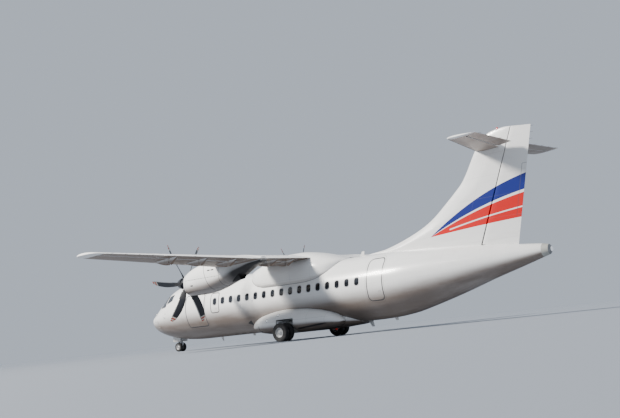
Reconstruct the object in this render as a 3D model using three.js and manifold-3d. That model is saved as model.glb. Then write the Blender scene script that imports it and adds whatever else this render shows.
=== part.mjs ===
// A twin turboprop airliner with a high wing and a T-tail, parked on its wheels.
// Millimetres. X runs aft, Y to starboard, Z up. Stations are measured from the nose tip,
// heights from the ground, and the whole group is shifted so that its origin lies on the
// ground under the middle of its length.
import * as THREE from "three";
import { mergeVertices } from "three/addons/utils/BufferGeometryUtils.js";
import Module from "manifold-3d";

const wasm = await Module();
wasm.setup();

// Driving dimensions
const LENGTH = 22670;
const HALF_SPAN = 12285;
const HEIGHT = 7590;
const FIT = 0.3; // gap between pieces that touch
const RUN = 0.3; // radial clearance of a pin in its eye, measured to the flats of the eye
const GAP = 10; // gap round a moving surface
const BEYOND = 800; // how far a cutting block reaches past what it cuts
const SIDES = [["left", -1], ["right", 1]];

// Body: round sections whose top, bottom and half width follow this table
const BODY = { radius: 1432.5, sides: 32, joints: [0, 3500, 13000, LENGTH] };
const BODY_TABLE = [
  // station, top, bottom, half width, height of the widest point
  [0, 1720, 1660, 30, 1690],
  [60, 1815, 1500, 190, 1672],
  [200, 1900, 1310, 360, 1660],
  [450, 2010, 1115, 560, 1665],
  [760, 2160, 970, 745, 1690],
  [1120, 2410, 845, 915, 1730],
  [1490, 2690, 745, 1055, 1775],
  [1870, 2950, 665, 1170, 1820],
  [2250, 3150, 605, 1262, 1860],
  [2660, 3270, 560, 1335, 1895],
  [3100, 3335, 530, 1385, 1920],
  [3500, 3362, 513, 1415, 1935],
  [3900, 3372.5, 507.5, 1432.5, 1940],
  [8500, 3372.5, 507.5, 1432.5, 1940],
  [13000, 3372.5, 507.5, 1432.5, 1940],
  [14300, 3372.5, 507.5, 1432.5, 1940],
  [15200, 3368, 530, 1422, 1946],
  [16200, 3340, 630, 1360, 1985],
  [17100, 3290, 820, 1235, 2055],
  [18000, 3220, 1040, 1090, 2130],
  [19000, 3130, 1310, 910, 2220],
  [20100, 3020, 1630, 696, 2325],
  [21400, 2860, 1970, 445, 2415],
  [22350, 2750, 2230, 262, 2490],
  [22600, 2700, 2300, 200, 2500],
  [LENGTH, 2610, 2390, 110, 2500],
];

// Doors: a panel as thick as its wall, in an opening. "deep" is how far the opening goes in behind it.
const DOORS = [
  { name: "passenger_door", side: -1, x: [14830, 15580], z: [1330, 3080], deep: 950, hinge: "sill" },
  { name: "cargo_door", side: -1, x: [3800, 5070], z: [1120, 2650], deep: 950, hinge: "head" },
  { name: "service_door", side: 1, x: [14890, 15500], z: [1330, 2550], deep: 0 },
  { name: "exit_left", side: -1, x: [5540, 6050], z: [1700, 2610], deep: 0 },
  { name: "exit_right", side: 1, x: [5540, 6050], z: [1700, 2610], deep: 0 },
];
const DOOR = { wall: 80, gap: 7, seat: 0.6, inner: 300, reach: 200, around: 500 };
const FLOOR = { drop: 12, edge: 1100, room: 100 }; // the floor behind a doorway lies lower than its sill
const NOSE_BAY = { x: [1420, 2040], half: 260, foot: 300, roof: 1250 };

// Belly fairing: a flat keel under the body, with a pod on each side that holds a main leg
const WHEEL_WELL = { station: 9660, side: 540, radius: 450, roof: 900 };
const LEG_BAY = { x: [9940, 10960], deep: [1010, 1500], deepRoof: 1130, wide: [1400, 2200], wideRoof: 980 };
const UNDER = 200; // height from which the openings in the belly are cut
const KEEL = { sides: 20, power: 3 };
const KEEL_TABLE = [
  // station, top, bottom, half width, height of the widest point
  [7700, 820, 520, 560, 700],
  [8100, 950, 425, 900, 720],
  [8700, 1100, 350, 1120, 740],
  [9400, 1180, 322, 1230, 750],
  [11300, 1180, 320, 1240, 750],
  [12200, 1130, 332, 1190, 750],
  [12900, 1000, 375, 1010, 720],
  [13350, 850, 430, 740, 680],
  [13620, 700, 490, 420, 620],
];
const POD = { side: 1150, sides: 20, power: 2.2 };
const POD_TABLE = [
  // station, top, bottom, half width, height of the widest point
  [7900, 940, 640, 150, 790],
  [8300, 1110, 520, 330, 800],
  [8900, 1280, 410, 520, 810],
  [9600, 1390, 355, 660, 820],
  [10300, 1425, 345, 735, 820],
  [11200, 1380, 345, 745, 810],
  [12000, 1255, 365, 700, 780],
  [12600, 1090, 395, 590, 730],
  [12950, 930, 445, 440, 690],
  [13100, 790, 520, 260, 660],
];

// The fairing that carries the wing on the body
const SADDLE = { sides: 28, power: 2.2 };
const SADDLE_TABLE = [
  // station, top, bottom, half width, height of the widest point
  [7600, 3400, 2900, 450, 3150],
  [8000, 3500, 2650, 1000, 2980],
  [8500, 3650, 2400, 1290, 2820],
  [9000, 3840, 2300, 1375, 2760],
  [9600, 3950, 2300, 1390, 2750],
  [10600, 3950, 2300, 1390, 2750],
  [11300, 3860, 2310, 1385, 2760],
  [11900, 3720, 2380, 1340, 2800],
  [12400, 3570, 2560, 1180, 2900],
  [12900, 3410, 2850, 700, 3120],
];

// Wing: straight to the kink, tapered beyond it. Its surfaces end at "from" and "to", measured
// from the centreline, and start at a share of the chord.
const WING = {
  kink: 4830, lead: 9080, chord: 2570, tipLead: 9380, tipChord: 1410,
  height: 3620, rise: 325, incidence: 0.03, rootThick: 0.175, tipThick: 0.13, camber: 0.02,
};
const WING_TIP = [
  // distance inboard of the tip, share of the thickness kept, how far the front edge moves back
  [300, 1, 0],
  [110, 0.8, 60],
  [30, 0.5, 170],
  [0, 0.2, 300],
];
const FOIL_POINTS = 12; // on each side of a wing section
const EDGE = 4; // half thickness of a surface's rear edge
const SLOT = { rear: 12400, low: 3000, high: 4600 };
const WING_SURFACES = {
  flap_inner: { from: 1560, to: 3390, start: 0.73, hinges: [1900, 3050] },
  flap_outer: { from: 4900, to: 9240, start: 0.73, hinges: [5560, 7100, 8640] },
  aileron: { from: 9290, to: 11950, start: 0.72, hinges: [] },
};
const STUB = { radius: 12, reach: 70, inside: 60, sides: 12 }; // end pins of an aileron or elevator

// Flap hinges: a pin under the wing, held by a fixed boat-shaped fairing and turned about by an arm
const HINGE = { drop: 300, arm: 30, plate: 36, space: 14, pin: 14, half: 62, sides: 16, sunk: 40 };
const BOAT_SIDE = [[-820, 130], [-640, 70], [-420, 0], [-200, -38], [-56, -46], [-56, 100], [-160, 115]];
const BOAT_PLAN = [[-900, 0], [-640, 40], [-380, 62], [0, 62]]; // behind the pin, half width
const PLATE_SIDE = [[-150, -38], [20, -40], [40, 0], [20, 36], [-150, 80]];
const TAIL_SHARE = 0.78; // how far a hinge fairing's rear half reaches under its flap

// Nacelles, engines and exhausts
const SHAFT = { station: 6740, side: 4050, height: 3065 };
const NACELLE = { sides: 20, power: 2.3 };
const NACELLE_TABLE = [
  // station, top, bottom, half width, height of the widest point
  [6880, 3370, 2560, 320, 2980],
  [6930, 3430, 2505, 400, 2980],
  [7080, 3510, 2462, 460, 2985],
  [7400, 3640, 2440, 525, 3000],
  [7900, 3770, 2430, 575, 3020],
  [8500, 3870, 2470, 600, 3060],
  [9000, 3930, 2570, 605, 3110],
  [9500, 3945, 2715, 590, 3170],
  [10000, 3920, 2880, 550, 3260],
  [10500, 3870, 3110, 480, 3370],
  [11000, 3790, 3330, 370, 3480],
  [11500, 3680, 3450, 220, 3540],
];
const ENGINE_ROOM = { x: [7100, 9000], half: 350, z: [2640, 3330] };
const ENGINE = { front: 60, foot: 2790 };
const INTAKE = { x: [6800, 7500], half: 210, z: [2570, 2740] };
const EXHAUST = {
  from: [9350, 70, 2990], to: [10330, 110, 3080], radius: 235, wall: 14, deep: 330, sides: 20,
};

// Propellers: six blades on a hub, and a spinner over the hub's front
const HUB = { radius: 235, back: 120, front: 140, shaft: 60, room: 30, sides: 24 };
const BLADES = { count: 6, points: 8 };
const BLADE_TABLE = [
  // radius, chord, thickness, pitch in degrees, sweep of the middle line
  [200, 150, 110, 62, 0],
  [330, 165, 80, 60, 0],
  [520, 250, 46, 54, -18],
  [850, 320, 32, 46, -38],
  [1250, 330, 24, 39, -20],
  [1600, 290, 17, 34, 35],
  [1850, 215, 12, 31, 95],
  [1965, 110, 8, 30, 140],
];
const SPINNER = [[0, -560], [70, -545], [140, -490], [205, -390], [250, -270], [275, -HUB.front - FIT]];
const PHASE = { left: 29, right: 20.4 }; // degrees that each propeller stands turned by

// Fin: a long low front, the straight edge and the curved tip, from the body's back to the top
const FIN_LEAD = [
  // height, station of the front edge
  [3000, 13600], [3372, 14050], [3480, 14980], [3600, 15500], [3790, 16140], [4030, 16800], [4280, 17330],
  [4580, 17800], [4940, 18260], [5330, 18740], [5730, 19180], [6880, 19940], [6960, 20000], [7180, 20170],
  [7350, 20330], [7470, 20560], [7550, 20850], [HEIGHT, 21300],
];
const FIN = {
  foot: 3000, half: 165, narrow: 0.018, round: 900, taper: 0.22, steps: 7,
  top: [[21300, HEIGHT], [22600, 7480]],
};
const RUDDER = {
  hinge: { station: 19880, height: 3080, lean: 0.41 }, tail: { station: 21340, height: 2880, lean: 0.254 },
  foot: [[19700, 3095], [21600, 2845]], heights: [2700, 5200, HEIGHT], nose: 0.72, edge: 5,
  pin: 25, pinTop: 3130, pinFoot: 2985, pinRoom: 5,
};
const TAIL = {
  half: 3655, height: 6900, rootLead: 19950, tipLead: 20750, rootTail: 21750, tipTail: 21950, thick: 0.11,
};
const TAIL_TIP = [
  // distance inboard of the tip, share of the thickness kept, how far the front edge moves back
  [0, 0.25, 190],
  [40, 0.6, 80],
  [120, 1, 0],
];
const ELEVATOR = { from: 330, to: 3480, start: 0.66, rear: 22500, low: 6400, high: 7400, middle: 60 };

// Landing gear: twin wheels each side of a post
const TYRE_SIDES = 24;
const NOSE_GEAR = {
  station: 1720, radius: 225, width: 150, spread: 135, rim: 125, axle: 28, end: 60, post: 42,
};
const MAIN_GEAR = {
  station: 10500, side: 2050, radius: 406.5, width: 220, spread: 205, rim: 215, axle: 48, end: 100, post: 62,
};
const NOSE_LEG = {
  top: 1180, foot: 560, barrel: 62, pin: 45, pinDrop: 40, brace: 28, braceFoot: 640, braceTop: 1110,
};
const NOSE_FORK = { piston: 40, top: 895, low: 20, bore: 900, collar: 70, collarFoot: 470, collarTop: 553 };
const LAMP = { from: 130, to: 55, height: 485, radius: 45 };
const NOSE_DOOR = { x: [1480, 2000], thick: 25, z: [505, 900] };
const MAIN_LEG = {
  top: [10250, 1290, 950], knee: [10050, 2050, 640], shoulder: [10180, 2030, 865],
  trunnion: 55, strut: 70, strutFoot: 60, beam: 42, pivot: 62, pivotHalf: 75, arm: 52, damper: 34,
  damperAhead: 80, damperUp: 30,
};
const LEG_DOOR = { x: [9960, 10900], y: [1330, 1690], corner: 120, under: 62, thick: 18 };

const COLOURS = {
  white: { color: 0xe9eaec, roughness: 0.3, metalness: 0 },
  underside: { color: 0xc9c8c6, roughness: 0.4, metalness: 0 },
  black: { color: 0x17181b, roughness: 0.45, metalness: 0 },
  steel: { color: 0x9a9da1, roughness: 0.35, metalness: 0.9 },
  tyre: { color: 0x1d1d1e, roughness: 0.85, metalness: 0 },
};
const materials = Object.fromEntries(
  Object.entries(COLOURS).map(([name, look]) => [name, new THREE.MeshStandardMaterial(look)]),
);

// Turning geometry into solids and back

function solid(geometry, matrix) {
  const loose = geometry.index ? geometry.toNonIndexed() : geometry.clone();
  const plain = new THREE.BufferGeometry().setAttribute("position", loose.getAttribute("position"));
  if (matrix) plain.applyMatrix4(matrix);
  const merged = mergeVertices(plain, 1e-3);
  return new wasm.Manifold(new wasm.Mesh({
    numProp: 3,
    vertProperties: merged.attributes.position.array,
    triVerts: new Uint32Array(merged.index.array),
  }));
}

function geometryOf(made) {
  const mesh = made.getMesh();
  const points = new Float32Array(mesh.numVert * 3);
  for (let i = 0; i < mesh.numVert; i++) {
    points.set(mesh.vertProperties.subarray(i * mesh.numProp, i * mesh.numProp + 3), i * 3);
  }
  const geometry = new THREE.BufferGeometry().setAttribute("position", new THREE.BufferAttribute(points, 3));
  geometry.setIndex(new THREE.BufferAttribute(new Uint32Array(mesh.triVerts), 1));
  geometry.computeVertexNormals();
  return geometry;
}

const united = (first, ...rest) => rest.reduce((sum, one) => sum.add(one), first);
const cut = (from, ...tools) => tools.reduce((left, tool) => left.subtract(tool), from);
const mirrored = (made) => made.mirror([0, 1, 0]);
const toSide = (made, hand) => (hand > 0 ? made : mirrored(made));

// The largest of the bodies that a cut leaves.
const largest = (made) => made.decompose().sort((a, b) => b.volume() - a.volume())[0];

function signedVolume(points, faces) {
  const at = (i) => new THREE.Vector3().fromArray(points, i * 3);
  let volume = 0;
  for (let i = 0; i < faces.length; i += 3) {
    volume += at(faces[i]).dot(at(faces[i + 1]).cross(at(faces[i + 2])));
  }
  return volume;
}

// A closed skin over rings of points that all have the same count, each end closed by a fan.
function loft(rings) {
  const count = rings[0].length;
  const points = rings.flat().flatMap((p) => [p.x, p.y, p.z]);
  const faces = [];
  for (let r = 0; r < rings.length - 1; r++) {
    for (let i = 0; i < count; i++) {
      const a = r * count + i;
      const b = r * count + ((i + 1) % count);
      faces.push(a, b, a + count, b, b + count, a + count);
    }
  }
  [[rings[0], 0], [rings.at(-1), (rings.length - 1) * count]].forEach(([ring, start], end) => {
    const middle = ring.reduce((sum, p) => sum.add(p), new THREE.Vector3()).divideScalar(count);
    const hub = points.length / 3;
    points.push(middle.x, middle.y, middle.z);
    for (let i = 0; i < count; i++) {
      const next = start + ((i + 1) % count);
      faces.push(...(end ? [start + i, next, hub] : [next, start + i, hub]));
    }
  });
  const geometry = new THREE.BufferGeometry();
  geometry.setAttribute("position", new THREE.BufferAttribute(new Float32Array(points), 3));
  if (signedVolume(points, faces) < 0) faces.reverse();
  geometry.setIndex(faces);
  return solid(geometry);
}

// A prism of a flat outline. plane "xy" rises along Z, plane "xz" runs along Y, from low to high.
function prism(plane, outline, low, high) {
  const shape = new THREE.Shape(outline.map(([a, b]) => new THREE.Vector2(a, b)));
  const geometry = new THREE.ExtrudeGeometry(shape, { depth: high - low, bevelEnabled: false });
  geometry.translate(0, 0, low);
  if (plane === "xz") geometry.rotateX(Math.PI / 2).scale(1, -1, 1);
  const made = new THREE.BufferGeometry().setAttribute("position", geometry.getAttribute("position"));
  const values = made.getAttribute("position").array;
  const order = [...values.keys()].filter((i) => i % 3 === 0).map((i) => i / 3);
  if (signedVolume([...values], order) < 0) {
    for (let i = 0; i < values.length; i += 9) {
      for (let k = 0; k < 3; k++) [values[i + k], values[i + 6 + k]] = [values[i + 6 + k], values[i + k]];
    }
  }
  return solid(made);
}

function block([x0, x1], [y0, y1], [z0, z1]) {
  const matrix = new THREE.Matrix4().makeTranslation((x0 + x1) / 2, (y0 + y1) / 2, (z0 + z1) / 2);
  return solid(new THREE.BoxGeometry(x1 - x0, y1 - y0, z1 - z0), matrix);
}

// A round bar between two points, wider at one end if a second radius is given.
function bar(from, to, radius, sides = 16, endRadius = radius) {
  const a = new THREE.Vector3(...from);
  const b = new THREE.Vector3(...to);
  const run = b.clone().sub(a);
  const turn = new THREE.Quaternion().setFromUnitVectors(new THREE.Vector3(0, 1, 0), run.clone().normalize());
  const matrix = new THREE.Matrix4().compose(a.add(b).multiplyScalar(0.5), turn, new THREE.Vector3(1, 1, 1));
  return solid(new THREE.CylinderGeometry(endRadius, radius, run.length(), sides), matrix);
}

// The radius of a faceted eye whose flats clear a pin
const eye = (pin, sides) => (pin + RUN) / Math.cos(Math.PI / sides);

// A rounded section across the body, squarer as the power grows. Its row is station, top, bottom,
// half width and height of the widest point, and grow moves it outwards.
function section([station, top, bottom, half, widest], count, power = 2, grow = 0) {
  return Array.from({ length: count }, (_, i) => {
    const angle = (i / count) * 2 * Math.PI;
    const bend = (value) => Math.sign(value) * Math.abs(value) ** (2 / power);
    const lift = Math.sin(angle) > 0 ? top - widest + grow : widest - bottom + grow;
    const [out, up] = [bend(Math.cos(angle)), bend(Math.sin(angle))];
    return new THREE.Vector3(station, (half + grow) * out, widest + lift * up);
  });
}

const fairing = (table, { sides, power }) => loft(table.map((row) => section(row, sides, power)));

// The scene: meshes are added to a group whose stations start at the nose
const airliner = new THREE.Group();
const stations = new THREE.Group();
stations.position.x = -LENGTH / 2;
airliner.add(stations);

function place(name, look, made, position, turn) {
  const mesh = new THREE.Mesh(geometryOf(made), materials[look]);
  mesh.name = name;
  if (position) mesh.position.set(...position);
  if (turn) mesh.rotation.set(...turn);
  stations.add(mesh);
  return mesh;
}

// Body

function bodyRow(station) {
  const i = Math.max(1, BODY_TABLE.findIndex((row) => row[0] >= station));
  const [low, high] = [BODY_TABLE[i - 1], BODY_TABLE[i]];
  const share = (station - low[0]) / (high[0] - low[0]);
  return low.map((value, k) => value + (high[k] - value) * share);
}

function body(from, to, grow = 0) {
  const inside = BODY_TABLE.map((row) => row[0]).filter((x) => x > from + 1 && x < to - 1);
  return loft([from, ...inside, to].map((x) => section(bodyRow(x), BODY.sides, 2, grow)));
}

const acrossSide = (side, near, far) => (side < 0 ? [-far, -near] : [near, far]);

function doorBlock(door, spread, low, high, inner) {
  const y = acrossSide(door.side, inner, BODY.radius + DOOR.reach);
  return block([door.x[0] - spread, door.x[1] + spread], y, [door.z[0] - low, door.z[1] + high]);
}

function doorPanel(door) {
  const around = [door.x[0] - DOOR.around, door.x[1] + DOOR.around];
  const wall = cut(body(...around), body(around[0] - 100, around[1] + 100, -DOOR.wall));
  return wall.intersect(doorBlock(door, 0, 0, 0, DOOR.inner));
}

// A door that stays shut fills its opening. One that opens has a gap round it and a room behind it.
function doorOpening(door) {
  const gap = door.hinge ? DOOR.gap : FIT;
  const sill = door.hinge === "sill" ? DOOR.seat : gap;
  const head = door.hinge === "head" ? DOOR.seat : gap;
  if (!door.deep) {
    const core = body(door.x[0] - DOOR.around, door.x[1] + DOOR.around, -DOOR.wall - FIT);
    return cut(doorBlock(door, gap, sill, head, DOOR.inner), core);
  }
  const inner = BODY.radius - DOOR.wall - door.deep;
  const y = acrossSide(door.side, inner, FLOOR.edge);
  const z = [door.z[0] - FLOOR.drop, door.z[0] + FLOOR.room];
  const floor = block([door.x[0] - gap, door.x[1] + gap], y, z);
  return doorBlock(door, gap, sill, head, inner).add(floor);
}

// Station of a line that leans back as it rises
const leaning = ({ station, height, lean }) => (z) => station + lean * (z - height);
const rudderHinge = leaning(RUDDER.hinge);
const rudderTail = leaning(RUDDER.tail);

function rudderPin(radius, deeper = 0) {
  const foot = RUDDER.pinFoot - deeper;
  return bar([rudderHinge(RUDDER.pinTop), 0, RUDDER.pinTop], [rudderHinge(foot), 0, foot], radius);
}

function bodyPieces() {
  const noseBay = block(NOSE_BAY.x, [-NOSE_BAY.half, NOSE_BAY.half], [NOSE_BAY.foot, NOSE_BAY.roof]);
  const names = ["fuselage_nose", "fuselage_cabin", "fuselage_tail"];
  const last = names.length - 1;
  names.forEach((name, i) => {
    const [from, to] = [BODY.joints[i], BODY.joints[i + 1]];
    let made = body(from + (i ? FIT / 2 : 0), to - (i < last ? FIT / 2 : 0));
    if (i === 0) made = cut(made, noseBay);
    if (i === last) made = cut(made, rudderPin(eye(RUDDER.pin, 16), RUDDER.pinRoom));
    const doors = DOORS.filter((door) => door.x[0] > from && door.x[1] < to);
    place(name, "white", cut(made, ...doors.map(doorOpening)));
  });
  for (const door of DOORS) place(door.name, "white", doorPanel(door));
}

bodyPieces();

// Fairings
const clearBody = body(6000, 15000, FIT);

function legBay(hand) {
  const inner = block(LEG_BAY.x, LEG_BAY.deep, [UNDER, LEG_BAY.deepRoof]);
  const outer = block(LEG_BAY.x, LEG_BAY.wide, [UNDER, LEG_BAY.wideRoof]);
  return toSide(inner.add(outer), hand);
}

function wheelWell(hand) {
  const { station, side, roof, radius } = WHEEL_WELL;
  return bar([station, hand * side, UNDER], [station, hand * side, roof], radius, 24);
}

const pod = fairing(POD_TABLE, POD).translate([0, POD.side, 0]);
const belly = united(fairing(KEEL_TABLE, KEEL), pod, mirrored(pod));
const gearOpenings = [-1, 1].flatMap((hand) => [wheelWell(hand), legBay(hand)]);
place("belly_fairing", "white", largest(cut(belly, clearBody, ...gearOpenings)));

// Wing

const halfThickness = (x, thick) => (
  5 * thick * (0.2969 * Math.sqrt(x) - 0.126 * x - 0.3516 * x ** 2 + 0.2843 * x ** 3 - 0.1015 * x ** 4)
);
const bow = (x, camber) => 4 * camber * x * (1 - x);

// Upper side from the rear edge to the front one, then the lower side back again
function foil(chord, thick, camber, count = FOIL_POINTS) {
  const side = (hand) => Array.from({ length: count }, (_, i) => {
    const x = (1 - Math.cos((i / (count - 1)) * Math.PI)) / 2;
    const half = Math.max(halfThickness(x, thick), 0.0015);
    return [x * chord, (bow(x, camber) + hand * half) * chord];
  });
  return [...side(1).reverse(), ...side(-1).slice(1)];
}

// Leading edge, chord, height and thickness of the wing at a distance from the centreline
function wingAt(side) {
  const share = Math.max(0, (Math.abs(side) - WING.kink) / (HALF_SPAN - WING.kink));
  const mix = (a, b) => a + (b - a) * share;
  return {
    lead: mix(WING.lead, WING.tipLead),
    chord: mix(WING.chord, WING.tipChord),
    height: WING.height + WING.rise * share,
    thick: mix(WING.rootThick, WING.tipThick),
  };
}

// A point of the wing's section plane: share of the chord, and height over the chord line
function wingPoint(side, along, over = 0) {
  const w = wingAt(side);
  const x = along * w.chord;
  return new THREE.Vector3(w.lead + x, side, w.height + over - WING.incidence * (x - w.chord / 2));
}

// The first and last millimetre of a section move outwards with it when it grows.
function outwards(x, chord, grow) {
  if (x > 1 && x < chord - 1) return x;
  return x < chord / 2 ? x - grow : x + grow;
}

function wingRing(side, { grow = 0, shrink = 1, back = 0 } = {}) {
  const w = wingAt(side);
  return foil(w.chord, w.thick * shrink, WING.camber).map(([x, z], i, all) => {
    const kept = back ? back + (x * (w.chord - back)) / w.chord : outwards(x, w.chord, grow);
    return wingPoint(side, kept / w.chord, z + (i < all.length / 2 ? grow : -grow));
  });
}

function tipRings(table, half, ring) {
  return table.map(([inboard, shrink, back]) => ring(half - inboard, { shrink, back }));
}

const outerWing = loft([wingRing(WING.kink + FIT / 2), ...tipRings(WING_TIP, HALF_SPAN, wingRing)]);
const centreWing = loft([-WING.kink + FIT / 2, WING.kink - FIT / 2].map((y) => wingRing(y)));
const clearWing = loft([-WING.kink, WING.kink].map((y) => wingRing(y, { grow: FIT })));

const UP = new THREE.Vector3(0, 0, 1);
const ACROSS = new THREE.Vector3(0, 1, 0);
const ROUND_STEPS = 8;

// A surface's section: a round nose on the hinge line, and straight sides to the rear edge.
function surfaceRing(hinge, radius, tail, edge, lift) {
  const back = tail.clone().sub(hinge).normalize();
  const points = Array.from({ length: ROUND_STEPS + 1 }, (_, i) => {
    const angle = Math.PI / 2 + (i / ROUND_STEPS) * Math.PI;
    const nose = hinge.clone().addScaledVector(back, radius * Math.cos(angle));
    return nose.addScaledVector(lift, radius * Math.sin(angle));
  });
  points.push(tail.clone().addScaledVector(lift, -edge), tail.clone().addScaledVector(lift, edge));
  return points;
}

// The nose circle of a surface on the wing, sitting in the middle of the section there
const NOSE_SHARE = 0.96; // of the half thickness where the surface starts

function wingHinge(side, start) {
  const w = wingAt(side);
  const radius = halfThickness(start, w.thick) * w.chord * NOSE_SHARE;
  const centre = wingPoint(side, start, bow(start, WING.camber) * w.chord);
  return { radius, centre, tail: wingPoint(side, 1) };
}

function wingSlot({ from, to, start }) {
  const front = (side) => {
    const h = wingHinge(side, start);
    return h.centre.x - h.radius - GAP;
  };
  const outline = [[front(from), from], [front(to), to], [SLOT.rear, to], [SLOT.rear, from]];
  return prism("xy", outline, SLOT.low, SLOT.high);
}

// Inner and outer end of a moving surface
const endsOf = ({ from, to }) => [from + 2 * GAP, to - 2 * GAP];

function wingSurface(surface) {
  return loft(endsOf(surface).map((side) => {
    const h = wingHinge(side, surface.start);
    return surfaceRing(h.centre, h.radius, h.tail, EDGE, UP);
  }));
}

// A flap turns about pins that hang below the wing. Each pin sits in a fixed bracket.
function flapPin(side, start) {
  return wingHinge(side, start).centre.add(new THREE.Vector3(0, 0, -HINGE.drop));
}

// A round bar along the hinge line, from one distance from its side to another
function pinAlong(side, start, from, to, radius) {
  const run = flapPin(side + 1000, start).sub(flapPin(side, start)).divideScalar(1000);
  const at = (reach) => flapPin(side, start).addScaledVector(run, reach).toArray();
  return bar(at(from), at(to), radius, HINGE.sides);
}

const fromPin = (pin, outline) => outline.map(([x, z]) => [pin.x + x, pin.z + z]);

// Fixed half of a flap hinge: a fairing under the wing that ends in the bracket with the pin
function flapBracket(side, start) {
  const pin = flapPin(side, start);
  const top = wingAt(side).height - HINGE.sunk;
  const roof = [[pin.x + BOAT_SIDE.at(-1)[0], top], [pin.x + BOAT_SIDE[0][0], top]];
  const boat = prism("xz", [...fromPin(pin, BOAT_SIDE), ...roof], side - HINGE.half, side + HINGE.half);
  const edge = BOAT_PLAN.map(([x, half]) => [pin.x + x, side - half]);
  const farEdge = BOAT_PLAN.slice(1).reverse().map(([x, half]) => [pin.x + x, side + half]);
  const plan = prism("xy", [...edge, ...farEdge], pin.z - 200, top + 10);
  const plate = prism("xz", fromPin(pin, PLATE_SIDE), side - HINGE.plate, side);
  const rod = pinAlong(side, start, -5, HINGE.space + HINGE.arm + 6, HINGE.pin);
  return united(boat.intersect(plan), plate, rod);
}

// Moving half of a flap hinge: the arm round the pin and the fairing's rear half, both under the flap
function flapArm(side, start) {
  const pin = flapPin(side, start);
  const h = wingHinge(side, start);
  const near = side + HINGE.space;
  const arm = prism("xz", [
    [pin.x - 34, pin.z - 22], [pin.x, pin.z - 36], [pin.x + 150, pin.z - 30],
    [pin.x + 250, h.centre.z - 10], [pin.x + 10, h.centre.z], [pin.x - 36, pin.z + 60],
  ], near, near + HINGE.arm);
  const reach = TAIL_SHARE * (h.tail.x - pin.x);
  const edge = h.centre.z + (h.tail.z - h.centre.z) * TAIL_SHARE;
  const tail = prism("xz", [
    [pin.x + 62, pin.z - 46], [pin.x + 0.55 * reach, pin.z + 10], [pin.x + reach, edge - 12],
    [pin.x + reach, edge], [pin.x + 62, h.centre.z - 20],
  ], side - HINGE.half, side + HINGE.half);
  const plan = prism("xy", [
    [pin.x, side - HINGE.half], [pin.x + 0.4 * reach, side - 48], [pin.x + reach + 5, side - 8],
    [pin.x + reach + 5, side + 8], [pin.x + 0.4 * reach, side + 48], [pin.x, side + HINGE.half],
  ], pin.z - 200, h.centre.z + 10);
  const room = eye(HINGE.pin, HINGE.sides);
  const bore = pinAlong(side, start, HINGE.space - 20, HINGE.space + HINGE.arm + 20, room);
  return cut(united(arm, tail.intersect(plan)), bore);
}

// Stub pins at both ends of a surface that turns inside the section, from one end point to the other
function stubPins([a, b], radius, reach) {
  const run = b.clone().sub(a).normalize();
  const at = (p, distance) => p.clone().addScaledVector(run, distance).toArray();
  return [
    bar(at(a, -reach), at(a, STUB.inside), radius, STUB.sides),
    bar(at(b, -STUB.inside), at(b, reach), radius, STUB.sides),
  ];
}

const stubHoles = (ends) => stubPins(ends, eye(STUB.radius, STUB.sides), STUB.reach + 5);

function wingPieces() {
  const { flap_inner: inner, flap_outer: outer, aileron } = WING_SURFACES;
  const brackets = (surface) => surface.hinges.map((side) => flapBracket(side, surface.start));
  const arms = (surface) => surface.hinges.map((side) => flapArm(side, surface.start));
  const slot = (surface) => cut(wingSlot(surface), ...brackets(surface));
  const ends = endsOf(aileron).map((y) => wingHinge(y, aileron.start).centre);
  const innerBrackets = brackets(inner);
  const centre = cut(
    united(centreWing, ...innerBrackets, ...innerBrackets.map(mirrored)),
    slot(inner), mirrored(slot(inner)),
  );
  place("wing_centre", "underside", centre);
  const hung = united(outerWing, ...brackets(outer));
  const panel = cut(hung, slot(outer), wingSlot(aileron), ...stubHoles(ends));
  const made = {
    wing: panel,
    flap_inner: united(wingSurface(inner), ...arms(inner)),
    flap_outer: united(wingSurface(outer), ...arms(outer)),
    aileron: united(wingSurface(aileron), ...stubPins(ends, STUB.radius, STUB.reach)),
  };
  for (const [name, hand] of SIDES) {
    for (const [key, one] of Object.entries(made)) place(`${key}_${name}`, "underside", toSide(one, hand));
  }
}

wingPieces();
place("wing_fairing", "white", largest(cut(fairing(SADDLE_TABLE, SADDLE), clearBody, clearWing)));

// Nacelles with their engines

function nacelle() {
  const skin = fairing(NACELLE_TABLE, NACELLE);
  const room = block(ENGINE_ROOM.x, [-ENGINE_ROOM.half, ENGINE_ROOM.half], ENGINE_ROOM.z);
  const intake = block(INTAKE.x, [-INTAKE.half, INTAKE.half], INTAKE.z);
  const shaftHole = bar(
    [INTAKE.x[0], 0, SHAFT.height], [ENGINE_ROOM.x[0] + 100, 0, SHAFT.height], HUB.shaft + HUB.room,
  );
  const { from, to, radius, wall, deep, sides } = EXHAUST;
  const run = new THREE.Vector3(...to).sub(new THREE.Vector3(...from)).normalize();
  const at = (reach) => new THREE.Vector3(...to).addScaledVector(run, reach).toArray();
  const mouth = bar(at(-deep), at(20), radius - wall, sides);
  const outer = skin.add(bar(from, to, radius, sides));
  return cut(outer, room, intake, shaftHole, mouth).translate([0, SHAFT.side, 0]);
}

// One plain block for the engine, with the shaft that the propeller turns on
function engine() {
  const core = block(
    [ENGINE_ROOM.x[0] + ENGINE.front, ENGINE_ROOM.x[1] - FIT],
    [-ENGINE_ROOM.half + FIT, ENGINE_ROOM.half - FIT],
    [ENGINE.foot, ENGINE_ROOM.z[1] - FIT],
  );
  const ends = [SHAFT.station - HUB.shaft, ENGINE_ROOM.x[0] + 100].map((x) => [x, 0, SHAFT.height]);
  return core.add(bar(...ends, HUB.shaft, HUB.sides)).translate([0, SHAFT.side, 0]);
}

// Propellers

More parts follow.
